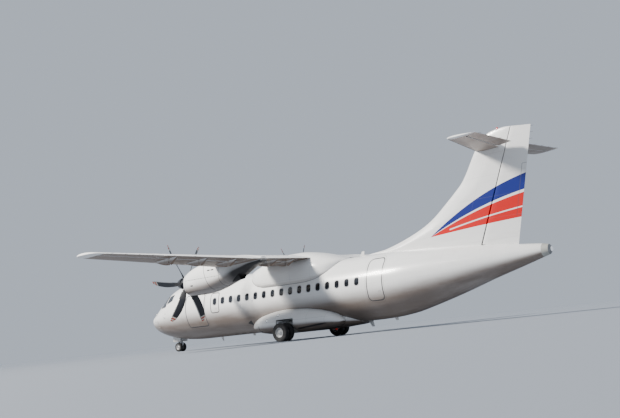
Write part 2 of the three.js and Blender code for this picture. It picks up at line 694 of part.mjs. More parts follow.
function blade() {
  return loft(BLADE_TABLE.map(([radius, chord, thick, pitch, sweep]) => {
    const turn = THREE.MathUtils.degToRad(pitch);
    return Array.from({ length: BLADES.points }, (_, i) => {
      const angle = (i / BLADES.points) * 2 * Math.PI;
      const along = (Math.cos(angle) * chord) / 2 + sweep;
      const over = (Math.sin(angle) * thick) / 2;
      return new THREE.Vector3(
        -along * Math.sin(turn) + over * Math.cos(turn),
        along * Math.cos(turn) + over * Math.sin(turn),
        radius,
      );
    });
  }));
}

function propeller() {
  const hub = bar([-HUB.front, 0, 0], [HUB.back, 0, 0], HUB.radius, HUB.sides);
  const one = blade();
  const ring = Array.from({ length: BLADES.count }, (_, i) => one.rotate([(i * 360) / BLADES.count, 0, 0]));
  const bore = bar([-HUB.shaft - 10, 0, 0], [HUB.back + 20, 0, 0], eye(HUB.shaft, HUB.sides), HUB.sides);
  return cut(united(hub, ...ring), bore);
}

function spinner() {
  const profile = [...SPINNER, [0, -HUB.front - FIT]].map(([r, x]) => new THREE.Vector2(r, x));
  return solid(new THREE.LatheGeometry(profile, 20).rotateZ(-Math.PI / 2));
}

const cowl = largest(cut(nacelle(), clearWing));
for (const [name, hand] of SIDES) {
  place(`nacelle_${name}`, "white", toSide(cowl, hand));
  place(`engine_${name}`, "steel", toSide(engine(), hand));
  const position = [SHAFT.station, hand * SHAFT.side, SHAFT.height];
  const turn = [-THREE.MathUtils.degToRad(PHASE[name]), 0, 0];
  place(`propeller_${name}`, "black", propeller(), position, turn);
  place(`spinner_${name}`, "black", spinner(), position, turn);
}

// Fin and rudder
const finHalf = (z) => FIN.half - FIN.narrow * (z - FIN.foot);
const rudderNose = (z) => RUDDER.nose * finHalf(z);
const finFace = (z) => rudderHinge(z) - rudderNose(z) - GAP;

function finRing([z, lead]) {
  const aft = finFace(z);
  return Array.from({ length: 2 * FIN.steps + 1 }, (_, k) => {
    const i = k - FIN.steps;
    const share = (Math.abs(i) / FIN.steps) ** 1.7;
    const back = (aft - lead) * share;
    const width = finHalf(z) * Math.min(1, Math.sqrt(back / FIN.round)) * (1 - FIN.taper * share ** 3);
    return new THREE.Vector3(lead + back, Math.sign(i) * width, z);
  });
}

function tailAt(side) {
  const share = Math.abs(side) / TAIL.half;
  const lead = TAIL.rootLead + (TAIL.tipLead - TAIL.rootLead) * share;
  return { lead, chord: TAIL.rootTail + (TAIL.tipTail - TAIL.rootTail) * share - lead };
}

function tailRing(side, { grow = 0, shrink = 1, back = 0 } = {}) {
  const t = tailAt(side);
  const chord = t.chord - back;
  return foil(chord, TAIL.thick * shrink, 0, FOIL_POINTS - 2).map(([x, z], i, all) => new THREE.Vector3(
    t.lead + back + outwards(x, chord, grow), side, TAIL.height + z + (i < all.length / 2 ? grow : -grow),
  ));
}

// The tailplane parts the fin in two, above and below it
function finPieces() {
  const clear = loft([-BEYOND, 0, BEYOND].map((y) => tailRing(y, { grow: FIT })));
  const parting = block([19000, 22000], [-BEYOND, BEYOND], [TAIL.height - 1, TAIL.height + 1]);
  const whole = cut(loft(FIN_LEAD.map(finRing)), body(13500, LENGTH, FIT), clear, parting);
  const lowest = (made) => made.boundingBox().min[2];
  const parts = whole.decompose().filter((part) => part.volume() > 1e6).sort((a, b) => lowest(a) - lowest(b));
  place("fin", "white", parts[0]);
  place("fin_tip", "white", parts[1]);
}

function rudder() {
  const stack = loft(RUDDER.heights.map((z) => {
    const [hinge, tail] = [rudderHinge(z), rudderTail(z)].map((x) => new THREE.Vector3(x, 0, z));
    return surfaceRing(hinge, rudderNose(z), tail, RUDDER.edge, ACROSS);
  }));
  const [[x0, z0], [x1, z1]] = FIN.top;
  const overTop = [[x0, z0], [x1, z1], [x1, z0 + BEYOND], [x0 - 500, z0 + BEYOND], [x0 - 500, z0]];
  const [[x2, z2], [x3, z3]] = RUDDER.foot;
  const underFoot = [[x2, z2], [x3, z3], [x3, z3 - BEYOND], [x2 - 700, z3 - BEYOND], [x2 - 700, z2]];
  const outside = [overTop, underFoot].map((outline) => prism("xz", outline, -400, 400));
  return cut(stack, ...outside).add(rudderPin(RUDDER.pin));
}

finPieces();
place("rudder", "white", rudder());

// Tailplane and elevators: their inner ends leave room for the rudder

function tailHinge(side) {
  const t = tailAt(side);
  return {
    radius: halfThickness(ELEVATOR.start, TAIL.thick) * t.chord * NOSE_SHARE,
    centre: new THREE.Vector3(t.lead + t.chord * ELEVATOR.start, side, TAIL.height),
    tail: new THREE.Vector3(t.lead + t.chord, side, TAIL.height),
  };
}

function tailPieces() {
  const surface = loft(endsOf(ELEVATOR).map((y) => {
    const h = tailHinge(y);
    return surfaceRing(h.centre, h.radius, h.tail, EDGE, UP);
  }));
  const ends = endsOf(ELEVATOR).map((y) => tailHinge(y).centre);
  const elevator = surface.add(stubPins(ends, STUB.radius, STUB.reach)[1]);
  const front = (y) => tailHinge(y).centre.x - tailHinge(y).radius - GAP;
  const slot = prism("xy", [
    [front(0), -ELEVATOR.middle], [front(0), 0], [front(ELEVATOR.to), ELEVATOR.to],
    [ELEVATOR.rear, ELEVATOR.to], [ELEVATOR.rear, -ELEVATOR.middle],
  ], ELEVATOR.low, ELEVATOR.high);
  const right = tipRings([...TAIL_TIP].reverse(), TAIL.half, tailRing);
  const left = tipRings(TAIL_TIP, TAIL.half, (side, options) => tailRing(-side, options));
  const hole = stubHoles(ends)[1];
  const whole = loft([...left, tailRing(0), ...right]);
  place("tailplane", "underside", cut(whole, slot, mirrored(slot), hole, mirrored(hole)));
  for (const [name, hand] of SIDES) place(`elevator_${name}`, "underside", toSide(elevator, hand));
}

tailPieces();

// Wheels: a tyre stands on a flat of its facets, which is at the full radius

function tyre({ radius, width, rim }) {
  const corner = 1 / Math.cos(Math.PI / TYRE_SIDES);
  const bulge = [[rim * corner, -0.8], [rim + 0.45 * (radius - rim), -1], [radius * corner, -0.6]];
  const side = bulge.map(([r, share]) => new THREE.Vector2(r, (share * width) / 2));
  const other = [...side].reverse().map((p) => new THREE.Vector2(p.x, -p.y));
  const ring = new THREE.LatheGeometry([...side, ...other, side[0]], TYRE_SIDES);
  return solid(ring.rotateY(Math.PI / TYRE_SIDES));
}

// A rim that turns on the axle, dished on its outer side, with a sleeve that reaches in to the post
function rim({ width, rim: edge, axle, spread, post }) {
  const half = width * 0.4;
  const disc = bar([0, -half, 0], [0, half, 0], edge - FIT, 24);
  const sleeve = bar([0, post - spread, 0], [0, 0, 0], axle + 22, 16);
  const dish = bar([0, half * 0.35, 0], [0, half + 5, 0], edge * 0.78, 20);
  const bore = bar([0, -spread * 2, 0], [0, spread * 2, 0], eye(axle, 24), 24);
  return cut(disc.add(sleeve), dish, bore);
}

function wheels(prefix, gear, side) {
  for (const [name, hand] of SIDES) {
    const position = [gear.station, side + hand * gear.spread, gear.radius];
    place(`${prefix}_tyre_${name}`, "tyre", tyre(gear), position);
    place(`${prefix}_rim_${name}`, "steel", toSide(rim(gear), hand), position);
  }
}

// The axle between twin wheels
function axle({ station, radius, axle: size, spread, end }, side) {
  return bar([station, side - spread - end, radius], [station, side + spread + end, radius], size, 24);
}

// Nose gear: a fixed leg in the bay and a fork that steers
function upright(low, high, radius, sides) {
  return bar([NOSE_GEAR.station, 0, low], [NOSE_GEAR.station, 0, high], radius, sides);
}

function noseLeg() {
  const { top, foot, barrel, pin, pinDrop, brace, braceFoot, braceTop } = NOSE_LEG;
  const x = NOSE_GEAR.station;
  const across = NOSE_BAY.half - FIT;
  const cross = bar([x, -across, top - pinDrop], [x, across, top - pinDrop], pin);
  const strut = bar([x, 0, braceFoot], [NOSE_BAY.x[1] - brace, 0, braceTop], brace, 12);
  const bore = upright(foot - 60, NOSE_FORK.bore, eye(NOSE_FORK.piston, 20), 20);
  return cut(united(upright(foot, top, barrel, 20), cross, strut), bore);
}

function noseFork() {
  const { piston, top, low, collar, collarFoot, collarTop } = NOSE_FORK;
  const x = NOSE_GEAR.station;
  const lamp = bar([x - LAMP.from, 0, LAMP.height], [x - LAMP.to, 0, LAMP.height], LAMP.radius);
  return united(
    upright(NOSE_GEAR.radius - low, top, piston, 20),
    upright(collarFoot, collarTop, collar, 14),
    axle(NOSE_GEAR, 0),
    lamp,
  );
}

place("nose_leg", "steel", noseLeg());
place("nose_fork", "steel", noseFork());
wheels("nose", NOSE_GEAR, 0);
for (const [name, hand] of SIDES) {
  const plate = block(NOSE_DOOR.x, [NOSE_BAY.half - NOSE_DOOR.thick, NOSE_BAY.half - FIT], NOSE_DOOR.z);
  place(`nose_gear_door_${name}`, "white", toSide(plate, hand));
}

// A flat slab along X that slopes through two points of Y and Z
function slab([x0, x1], [[y0, z0], [y1, z1]], thick) {
  const outline = [[z0, y0], [z1, y1], [z1 - thick, y1], [z0 - thick, y0]];
  const shape = new THREE.Shape(outline.map(([z, y]) => new THREE.Vector2(-z, y)));
  const geometry = new THREE.ExtrudeGeometry(shape, { depth: x1 - x0, bevelEnabled: false });
  const turned = new THREE.Matrix4().makeRotationY(Math.PI / 2);
  return solid(geometry, new THREE.Matrix4().makeTranslation(x0, 0, 0).multiply(turned));
}

// The door that hangs under a main leg, on the slope between its top and its knee
function legDoor() {
  const { x, y, corner, under, thick } = LEG_DOOR;
  const [, topSide, topHeight] = MAIN_LEG.top;
  const [, side, height] = MAIN_LEG.knee;
  const slope = (at) => topHeight + ((at - topSide) / (side - topSide)) * (height - topHeight) - under;
  const outline = prism("xy", [[x[0], y[0]], [x[1], y[0]], [x[1] - corner, y[1]], [x[0], y[1]]], 0, 2000);
  return outline.intersect(slab(x, y.map((at) => [at, slope(at)]), thick));
}

// Main gear: a leg that slants out of its bay, a trailing arm and the axle between twin wheels
function mainLeg() {
  const { station, side, radius } = MAIN_GEAR;
  const { top, knee, shoulder } = MAIN_LEG;
  const [x0, x1] = LEG_BAY.x;
  const damperFoot = [station - MAIN_LEG.damperAhead, side, radius + MAIN_LEG.damperUp];
  const pivotEnds = [-1, 1].map((hand) => [knee[0], side + hand * MAIN_LEG.pivotHalf, knee[2]]);
  return united(
    bar([x0 + FIT, top[1], top[2]], [x1 - FIT, top[1], top[2]], MAIN_LEG.trunnion, 12),
    bar(top, knee, MAIN_LEG.strut, 12, MAIN_LEG.strutFoot),
    bar(top, shoulder, MAIN_LEG.beam, 8),
    bar(...pivotEnds, MAIN_LEG.pivot),
    bar(knee, [station, side, radius], MAIN_LEG.arm, 12),
    bar(shoulder, damperFoot, MAIN_LEG.damper, 10),
    axle(MAIN_GEAR, side),
    legDoor(),
  );
}

for (const [name, hand] of SIDES) {
  place(`main_leg_${name}`, "steel", toSide(mainLeg(), hand));
  wheels(`main_${name}`, MAIN_GEAR, hand * MAIN_GEAR.side);
}

export default airliner;
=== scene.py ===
import math
from bisect import bisect_right

import bmesh
import bpy
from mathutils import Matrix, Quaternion, Vector


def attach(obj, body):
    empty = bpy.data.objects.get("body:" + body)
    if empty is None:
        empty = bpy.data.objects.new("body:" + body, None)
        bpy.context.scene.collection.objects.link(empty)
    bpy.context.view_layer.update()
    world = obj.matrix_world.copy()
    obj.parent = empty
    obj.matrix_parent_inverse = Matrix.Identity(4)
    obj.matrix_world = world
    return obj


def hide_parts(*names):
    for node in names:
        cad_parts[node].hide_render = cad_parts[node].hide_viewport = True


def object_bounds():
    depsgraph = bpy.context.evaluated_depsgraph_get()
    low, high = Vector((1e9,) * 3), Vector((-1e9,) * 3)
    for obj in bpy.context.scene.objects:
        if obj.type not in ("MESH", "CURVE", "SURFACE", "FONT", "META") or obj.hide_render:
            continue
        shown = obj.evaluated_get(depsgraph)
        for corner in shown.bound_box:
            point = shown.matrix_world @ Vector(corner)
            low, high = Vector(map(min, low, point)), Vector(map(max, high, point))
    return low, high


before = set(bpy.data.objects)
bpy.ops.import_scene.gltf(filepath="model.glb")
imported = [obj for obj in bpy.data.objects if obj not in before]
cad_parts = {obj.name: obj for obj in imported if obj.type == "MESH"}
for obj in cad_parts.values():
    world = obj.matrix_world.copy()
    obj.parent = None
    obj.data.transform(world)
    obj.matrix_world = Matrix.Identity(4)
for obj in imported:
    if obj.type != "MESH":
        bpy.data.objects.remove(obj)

bl_info = {
    "name": "Twin turboprop airliner",
    "version": (1, 0, 0),
    "blender": (4, 5, 0),
    "location": "View3D > Sidebar > Airliner",
    "description": "Dresses the packed airliner: skins, glass, wings, propellers, gear and paint",
    "category": "Add Mesh",
}

# Metres. X runs aft, Y to starboard, Z up. Tables give stations from the nose tip, heights from the ground.
CAD_LOW, CAD_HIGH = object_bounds()
NOSE = CAD_LOW.x
SIDES = (("left", -1), ("right", 1))
LENGTH = 22.67
HALF_SPAN = 12.285

BODY = [
    # station, top, bottom, half width, height of the widest point
    (0.06, 1.815, 1.5, 0.19, 1.672),
    (0.2, 1.9, 1.31, 0.36, 1.66),
    (0.45, 2.01, 1.115, 0.56, 1.665),
    (0.76, 2.16, 0.97, 0.745, 1.69),
    (1.12, 2.41, 0.845, 0.915, 1.73),
    (1.49, 2.69, 0.745, 1.055, 1.775),
    (1.87, 2.95, 0.665, 1.17, 1.82),
    (2.25, 3.15, 0.605, 1.262, 1.86),
    (2.66, 3.27, 0.56, 1.335, 1.895),
    (3.1, 3.335, 0.53, 1.385, 1.92),
    (3.5, 3.362, 0.513, 1.415, 1.935),
    (3.9, 3.3725, 0.5075, 1.4325, 1.94),
    (14.3, 3.3725, 0.5075, 1.4325, 1.94),
    (15.2, 3.368, 0.53, 1.422, 1.946),
    (16.2, 3.34, 0.63, 1.36, 1.985),
    (17.1, 3.29, 0.82, 1.235, 2.055),
    (18.0, 3.22, 1.04, 1.09, 2.13),
    (19.0, 3.13, 1.31, 0.91, 2.22),
    (20.1, 3.02, 1.63, 0.696, 2.325),
    (21.4, 2.86, 1.97, 0.445, 2.415),
    (22.35, 2.75, 2.23, 0.262, 2.49),
    (22.6, 2.7, 2.3, 0.2, 2.5),
    (LENGTH, 2.61, 2.39, 0.11, 2.5),
]
CABIN_HALF = max(row[3] for row in BODY)
NOSE_TIP = (0.0, 1.69)
BODY_SIDES = 96
BODY_JOINTS = (0.0, 3.5, 13.0, LENGTH)

DOOR_WALL = 0.08
DOOR_GAP = 0.007
DOOR_INNER = 0.3
DOORS = [dict(zip(("name", "side", "x", "z", "deep", "corner"), row)) for row in (
    # name, side, stations, sill and head, how deep the opening goes, corner radius
    ("passenger_door", -1, (14.83, 15.58), (1.33, 3.08), 0.95, 0.17),
    ("cargo_door", -1, (3.8, 5.07), (1.12, 2.65), 0.95, 0.12),
    ("service_door", 1, (14.89, 15.5), (1.33, 2.55), 0.0, 0.12),
    ("exit_left", -1, (5.54, 6.05), (1.7, 2.61), 0.0, 0.1),
    ("exit_right", 1, (5.54, 6.05), (1.7, 2.61), 0.0, 0.1),
)]
WINDOWS = {
    "first": 5.8, "pitch": 0.531, "count": 17, "height": 2.22, "half_x": 0.12, "half_z": 0.17, "corner": 0.1,
}
NOSE_BAY = {"x": (1.42, 2.04), "half": 0.26, "roof": 1.25}


def at(station, y, z):
    """A point of the row frame from a station, a side and a height."""
    return Vector((NOSE + station, y, z))


# Curves through the rows of a table

def slopes(keys, values):
    """Slope at each point of a curve that never swings past its points."""
    steps = [(b - a) / (k - j) for a, b, j, k in zip(values, values[1:], keys, keys[1:])]
    middle = [0.0 if a * b <= 0 else 2 * a * b / (a + b) for a, b in zip(steps, steps[1:])]
    return [steps[0], *middle, steps[-1]]


def along(table, key):
    """The row of a table at any value of its first column, on smooth curves through its rows."""
    keys = [row[0] for row in table]
    i = min(max(bisect_right(keys, key), 1), len(keys) - 1)
    run = keys[i] - keys[i - 1]
    t = (key - keys[i - 1]) / run
    row = [key]
    for values in list(zip(*table))[1:]:
        slope = slopes(keys, values)
        row.append(
            values[i - 1] * (1 + 2 * t) * (1 - t) ** 2
            + run * slope[i - 1] * t * (1 - t) ** 2
            + values[i] * t * t * (3 - 2 * t)
            + run * slope[i] * t * t * (t - 1)
        )
    return row


def spread(first, last, step):
    """Values from first to last, evenly, about a step apart."""
    count = max(1, round((last - first) / step))
    return [first + (last - first) * i / count for i in range(count + 1)]


def circle(count):
    """Cosine and sine of evenly spaced turns."""
    turns = [2 * math.pi * i / count for i in range(count)]
    return [(math.cos(turn), math.sin(turn)) for turn in turns]


def swollen(value, power):
    """A cosine or sine raised to a power with its sign kept."""
    return math.copysign(abs(value) ** power, value)


# Modelling by operators

def deselect():
    """Leaves edit mode with nothing selected."""
    if bpy.context.mode != "OBJECT":
        bpy.ops.object.mode_set(mode="OBJECT")
    bpy.ops.object.select_all(action="DESELECT")


def activate(piece):
    """Selects one piece alone."""
    deselect()
    piece.select_set(True)
    bpy.context.view_layer.objects.active = piece


def edit(piece, mode="VERT", everything=True):
    """Enters edit mode on one piece, with all or nothing of it selected."""
    activate(piece)
    bpy.ops.object.mode_set(mode="EDIT")
    bpy.ops.mesh.select_mode(type=mode)
    bpy.ops.mesh.select_all(action="SELECT" if everything else "DESELECT")
    return bmesh.from_edit_mesh(piece.data)


def leave_closed():
    """Turns the faces of the closed piece in edit mode outwards, and leaves edit mode."""
    bpy.ops.mesh.select_all(action="SELECT")
    bpy.ops.mesh.normals_make_consistent(inside=False)
    bpy.ops.object.mode_set(mode="OBJECT")


def remove(piece):
    """Takes a piece and its mesh out of the file."""
    mesh = piece.data
    bpy.data.objects.remove(piece, do_unlink=True)
    bpy.data.meshes.remove(mesh)


def edited(piece):
    """The mesh in edit mode, with its vertices ready to be found by number."""
    mesh = bmesh.from_edit_mesh(piece.data)
    mesh.verts.ensure_lookup_table()
    return mesh


def set_points(piece, order, points):
    """Puts the edited piece's vertices of an order at a list of points."""
    mesh = edited(piece)
    for index, point in zip(order, points):
        mesh.verts[index].co = point
    bmesh.update_edit_mesh(piece.data, loop_triangles=False, destructive=False)


def select_points(piece, order):
    """Selects only the edited piece's vertices of an order."""
    mesh = edited(piece)
    bpy.ops.mesh.select_all(action="DESELECT")
    for index in order:
        mesh.verts[index].select = True
    mesh.select_flush(True)
    bmesh.update_edit_mesh(piece.data, loop_triangles=False, destructive=False)


def extruded(piece, order):
    """Extrudes the selected ring and gives the new ring's vertices in the same order."""
    bpy.ops.mesh.extrude_edges_move()
    mesh = edited(piece)
    mesh.verts.index_update()
    new = []
    for index in order:
        others = [edge.other_vert(mesh.verts[index]) for edge in mesh.verts[index].link_edges]
        new.append(next(other.index for other in others if other.select))
    return new


def close_end(piece, order, form):
    """Closes an end ring with a face, or draws it together into a point."""
    select_points(piece, order)
    if form == "face":
        bpy.ops.mesh.edge_face_add()
    else:
        bpy.ops.mesh.merge(type="CENTER")


def started(name, points):
    """A circle with its points put in place, left in edit mode."""
    deselect()
    bpy.ops.mesh.primitive_circle_add(vertices=len(points), radius=1.0, location=(0, 0, 0))
    piece = bpy.context.object
    piece.name = name
    edit(piece)
    set_points(piece, range(len(points)), points)
    return piece


def loft(name, rings, ends=("face", "face")):
    """A closed skin: a circle is extruded from section to section and set to each section's points."""
    piece = started(name, rings[0])
    first = order = range(len(rings[0]))
    for ring in rings[1:]:
        order = extruded(piece, order)
        set_points(piece, order, ring)
    close_end(piece, order, ends[1])
    close_end(piece, first, ends[0])
    leave_closed()
    return piece


def lathe(name, outline, centre, axis=(0, 1, 0), steps=64):
    """A turned shape. The outline's points are (radius, distance along the axis)."""
    axis = Vector(axis).normalized()
    out = axis.orthogonal().normalized()
    piece = started(name, [centre + out * radius + axis * run for radius, run in outline])
    bpy.ops.mesh.select_all(action="SELECT")
    bpy.ops.mesh.spin(steps=steps, angle=2 * math.pi, center=centre, axis=axis)
    bpy.ops.mesh.select_all(action="SELECT")
    bpy.ops.mesh.remove_doubles(threshold=1e-5)
    bpy.ops.mesh.delete_loose()
    leave_closed()
    return piece


def rod(name, start, end, radius, end_radius=None, sides=24, chamfer=0.004):
    """A round bar between two points with its end edges taken off."""
    end_radius = radius if end_radius is None else end_radius
    run = (end - start).normalized()
    out = run.orthogonal().normalized()
    across = run.cross(out)
    stops = [
        (start, radius - chamfer), (start + run * chamfer, radius),
        (end - run * chamfer, end_radius), (end, end_radius - chamfer),
    ]
    rings = [[place + (out * c + across * s) * size for c, s in circle(sides)] for place, size in stops]
    return loft(name, rings)


def bevelled(piece, offset, segments, chosen):
    """Bevels the edges that a test chooses by their ends."""
    mesh = edit(piece, "EDGE", everything=False)
    for edge in mesh.edges:
        edge.select = chosen(edge.verts[0].co, edge.verts[1].co)
    mesh.select_flush_mode()
    bmesh.update_edit_mesh(piece.data)
    bpy.ops.mesh.bevel(offset=offset, segments=segments, affect="EDGES")
    bpy.ops.object.mode_set(mode="OBJECT")
    return piece


def block(name, low, high, corner=0.0, axis=1, segments=6, edge=0.0):
    """A box whose edges along one axis are rounded by corner, and all others by edge."""
    deselect()
    bpy.ops.mesh.primitive_cube_add(size=1, location=(0, 0, 0))
    piece = bpy.context.object
    piece.name = name
    bpy.ops.transform.resize(value=tuple(high - low))
    bpy.ops.transform.translate(value=tuple((low + high) / 2))
    bpy.ops.object.transform_apply(location=True, rotation=True, scale=True)
    if corner:
        bevelled(piece, corner, segments, lambda a, b: abs((b - a).normalized()[axis]) > 0.9)
    if edge:
        bevelled(piece, edge, 2, lambda a, b: abs((b - a).normalized()[axis]) < 0.1)
    return piece


def prism(name, outline, low, high, axis=1):
    """A flat outline of two coordinates, drawn out along an axis."""
    def point(pair, depth):
        values = [*pair]
        values.insert(axis, depth)
        return at(*values)
    return loft(name, [[point(pair, depth) for pair in outline] for depth in (low, high)])


def shape_by(piece, operation, *tools):
    """Applies a Boolean of each tool to the piece, and removes the tools."""
    for tool in tools:
        modifier = piece.modifiers.new("cut", "BOOLEAN")
        modifier.solver = "EXACT"
        modifier.operation = operation
        modifier.object = tool
        activate(piece)
        bpy.ops.object.modifier_apply(modifier=modifier.name)
        remove(tool)
    return piece


def cut(piece, *tools):
    """Takes tools out of a piece."""
    return shape_by(piece, "DIFFERENCE", *tools)


def common(piece, *tools):
    """Keeps what a piece shares with its tools."""
    return shape_by(piece, "INTERSECT", *tools)


def joined(name, pieces):
    """One piece made of several meshes."""
    deselect()
    for piece in pieces:
        piece.select_set(True)
    bpy.context.view_layer.objects.active = pieces[0]
    if len(pieces) > 1:
        bpy.ops.object.join()
    made = bpy.context.view_layer.objects.active
    made.name = name
    made.data.name = name
    return made


def copied(piece, offset):
    """A copy with its own mesh, moved by an offset."""
    activate(piece)
    bpy.ops.object.duplicate(linked=False)
    copy = bpy.context.object
    bpy.ops.transform.translate(value=tuple(offset))
    bpy.ops.object.transform_apply(location=True, rotation=True, scale=True)
    return copy


def finished(piece, look, nodes=(), body="airframe", slot="painted_skin", angle=35):
    """Shades a piece, gives it a finish and a body to ride on, and hides the nodes it stands for."""
    activate(piece)
    bpy.ops.object.shade_smooth_by_angle(angle=math.radians(angle))
    piece.data.materials.clear()
    piece.data.materials.append(finish(look))
    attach(piece, body)
    if nodes:
        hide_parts(*nodes)
    return piece


def paint_faces(piece, look, chosen):
    """Gives the faces that a test chooses, by middle and normal, another finish."""
    piece.data.materials.append(finish(look))
    index = len(piece.data.materials) - 1
    for face in piece.data.polygons:
        if chosen(face.center, face.normal):
            face.material_index = index


# Sections

def rounded(station, top, bottom, half, widest, power=2.0, count=48, side=0.0, grow=0.0):
    """Points of a rounded section across the body, squarer as the power grows."""
    points = []
    for c, s in circle(count):
        out, up = swollen(c, 2 / power), swollen(s, 2 / power)
        lift = top - widest + grow if s > 0 else widest - bottom + grow
        points.append(at(station, side + (half + grow) * out, widest + lift * up))
    return points


def body_row(station):
    """The body's section at a station, with a blunt round tip ahead of the table."""
    first = BODY[0]
    if station >= first[0]:
        return along(BODY, min(station, LENGTH))
    share = math.sqrt(max(station, 0.0) / first[0])
    height = NOSE_TIP[1]
    return [station, *[height + (value - height) * share for value in first[1:3]],
            first[3] * share, height + (first[4] - height) * share]


def body_stations(first, last):
    """Stations of the body's sections, close together where it curves."""
    tip = [0.0006, 0.003, 0.008, 0.016, 0.028, 0.043]
    nose = spread(BODY[0][0], 3.9, 0.096)
    cabin = spread(3.9, 14.3, 0.4)[1:]
    tail = spread(14.3, 22.6, 0.26)[1:]
    low = first + 0.01 if first else 0.0
    inside = [x for x in (*tip, *nose, *cabin, *tail) if low < x < last - 0.01]
    return [*([first] if first else []), *inside, last]


def fuselage(name, first, last, grow=0.0):
    """The body's skin between two stations, moved outwards by grow."""
    rings = [rounded(*body_row(x), grow=grow, count=BODY_SIDES) for x in body_stations(first, last)]
    return loft(name, rings, ("face" if first else "point", "face"))


def body_shell(name, first, last, outer, inner):
    """A curved plate: the body grown by outer, less the body grown by inner."""
    return cut(fuselage(name, first, last, outer), fuselage("core", first - 0.05, last + 0.05, inner))


# Body: skins, doors, windows and cockpit glass

def around(door):
    """Stations a little before and behind a door."""
    return door["x"][0] - 0.5, door["x"][1] + 0.5


def side_block(stations, levels, side, inner, corner):
    """A block with rounded corners that reaches out through one side of the body."""
    y = (-2.0, -inner) if side < 0 else (inner, 2.0)
    low, high = [at(*place) for place in zip(stations, y, levels)]
    return block("opening", low, high, corner=corner, axis=1, segments=8)


def door_block(door, gap, inner=DOOR_INNER):
    """A block with a door's outline, moved outwards by gap."""
    stations, levels = ((door[axis][0] - gap, door[axis][1] + gap) for axis in ("x", "z"))
    return side_block(stations, levels, door["side"], inner, door["corner"] + gap)


def door_opening(door):
    """The room that a door's opening takes out of the body."""
    if door["deep"]:
        return door_block(door, DOOR_GAP, CABIN_HALF - DOOR_WALL - door["deep"])
    return cut(door_block(door, DOOR_GAP), fuselage("core", *around(door), -DOOR_WALL))


def door_panel(door):
    """A door as thick as its wall, rounded at its corners."""
    shell = body_shell(door["name"] + "_panel", *around(door), 0.0, -DOOR_WALL)
    return common(shell, door_block(door, 0.0))


def window_block(side, grow=0.0):
    """A block with a cabin window's outline, moved outwards by grow."""
    w = WINDOWS
    stations = (w["first"] - w["half_x"] - grow, w["first"] + w["half_x"] + grow)
    levels = (w["height"] - w["half_z"] - grow, w["height"] + w["half_z"] + grow)
    return side_block(stations, levels, side, 1.3, w["corner"] + grow)


def window_row(name, one):
    """A whole row of windows from one."""
    row = [copied(one, (WINDOWS["pitch"] * i, 0, 0)) for i in range(1, WINDOWS["count"])]
    return joined(name, [one, *row])


COCKPIT_PANES = [
    # name, axis of view, outline on the starboard side
    ("windscreen", 0, [(0.035, 2.36), (0.56, 2.28), (0.7, 2.62), (0.6, 2.83), (0.035, 2.89)]),
    ("side_window", 1, [(1.5, 2.25), (2.06, 2.3), (2.14, 2.8), (2.02, 2.83)]),
    ("rear_window", 1, [(2.17, 2.42), (2.62, 2.56), (2.62, 2.86), (2.24, 2.79)]),
]


def soft_outline(outline, radius, grow=0.0, steps=5):
    """A convex outline with its corners rounded, moved outwards by grow."""
    points = [Vector(point) for point in outline]
    middle = sum(points, Vector((0, 0))) / len(points)
    made = []
    for i, corner in enumerate(points):
        ends = []
        for other in (points[i - 1], points[(i + 1) % len(points)]):
            ends.append(corner + (other - corner).normalized() * radius)
        for k in range(steps + 1):
            t = k / steps
            made.append(ends[0] * (1 - t) ** 2 + corner * 2 * t * (1 - t) + ends[1] * t * t)
    return [tuple(p + (p - middle).normalized() * grow) for p in made]


def pane_prism(axis, outline, hand, grow=0.0):
    """A cockpit pane's outline, drawn out along the axis that it is seen from."""
    points = soft_outline(outline, 0.06, grow)
    if axis == 0:
        return prism("pane", [(hand * y, z) for y, z in points], 0.6, 2.3, axis=0)
    return prism("pane", points, *sorted((hand * 0.35, hand * 2.0)))


# Choices for a user

def colour_choice(name, description, default):
    """A colour that a user can change."""
    return bpy.props.FloatVectorProperty(
        name=name, description=description, subtype="COLOR", size=3, min=0.0, max=1.0, default=default)


def size_choice(name, description, default):
    """A length that a user can change."""
    return bpy.props.FloatProperty(
        name=name, description=description, subtype="DISTANCE", unit="LENGTH", min=0.0, default=default)


class AirlinerPaint(bpy.types.PropertyGroup):
    """Colours of the airliner"""

    white: colour_choice("White", "Gloss white of the body, fin and nacelles", (0.82, 0.82, 0.81))
    # The belly and wing dirt colours are painted shade as well as grime: they darken every face that looks
    # down.
    belly_dirt_and_shade: colour_choice("Belly dirt", "Grime under the body and nacelles", (0.14, 0.1, 0.076))
    wing_dirt_and_shade: colour_choice("Wing dirt", "Grime under the wing and tailplane", (0.2, 0.135, 0.095))
    fin_blue: colour_choice("Fin blue", "Upper colour of the fin's design", (0.006, 0.014, 0.17))
    fin_red: colour_choice("Fin red", "Lower colour of the fin's design", (0.55, 0.006, 0.004))
    blade: colour_choice("Blades", "Near-black of the propeller blades", (0.012, 0.014, 0.02))
    gear: colour_choice("Landing gear", "Grey of the legs and fork", (0.55, 0.56, 0.57))


class AirlinerSizes(bpy.types.PropertyGroup):
    """Sizes of the airliner's small details"""

    seam: size_choice("Skin seams", "Width of the seams between skin panels", 0.004)
    door_seal: size_choice("Door seals", "Width of the dark line round each door", 0.045)
    window_rim: size_choice("Window rims", "Width of the rim round each cabin window", 0.02)
    wick: size_choice("Static wicks", "Length of the wicks on the rear edges", 0.13)


def paint():
    """The user's colours."""
    return bpy.context.scene.airliner_paint


def sizes():
    """The user's sizes."""
    return bpy.context.scene.airliner_sizes


def nose_openings():
    """The nose wheel's bay and the cockpit's window openings."""
    (x0, x1), half = NOSE_BAY["x"], NOSE_BAY["half"]
    tools = [block("bay", at(x0, -half, 0.2), at(x1, half, NOSE_BAY["roof"]), corner=0.04, axis=2)]
    for _, axis, outline in COCKPIT_PANES:
        for _, hand in SIDES:
            tools.append(cut(pane_prism(axis, outline, hand), fuselage("core", 0.5, 3.0, -0.02)))
    return tools


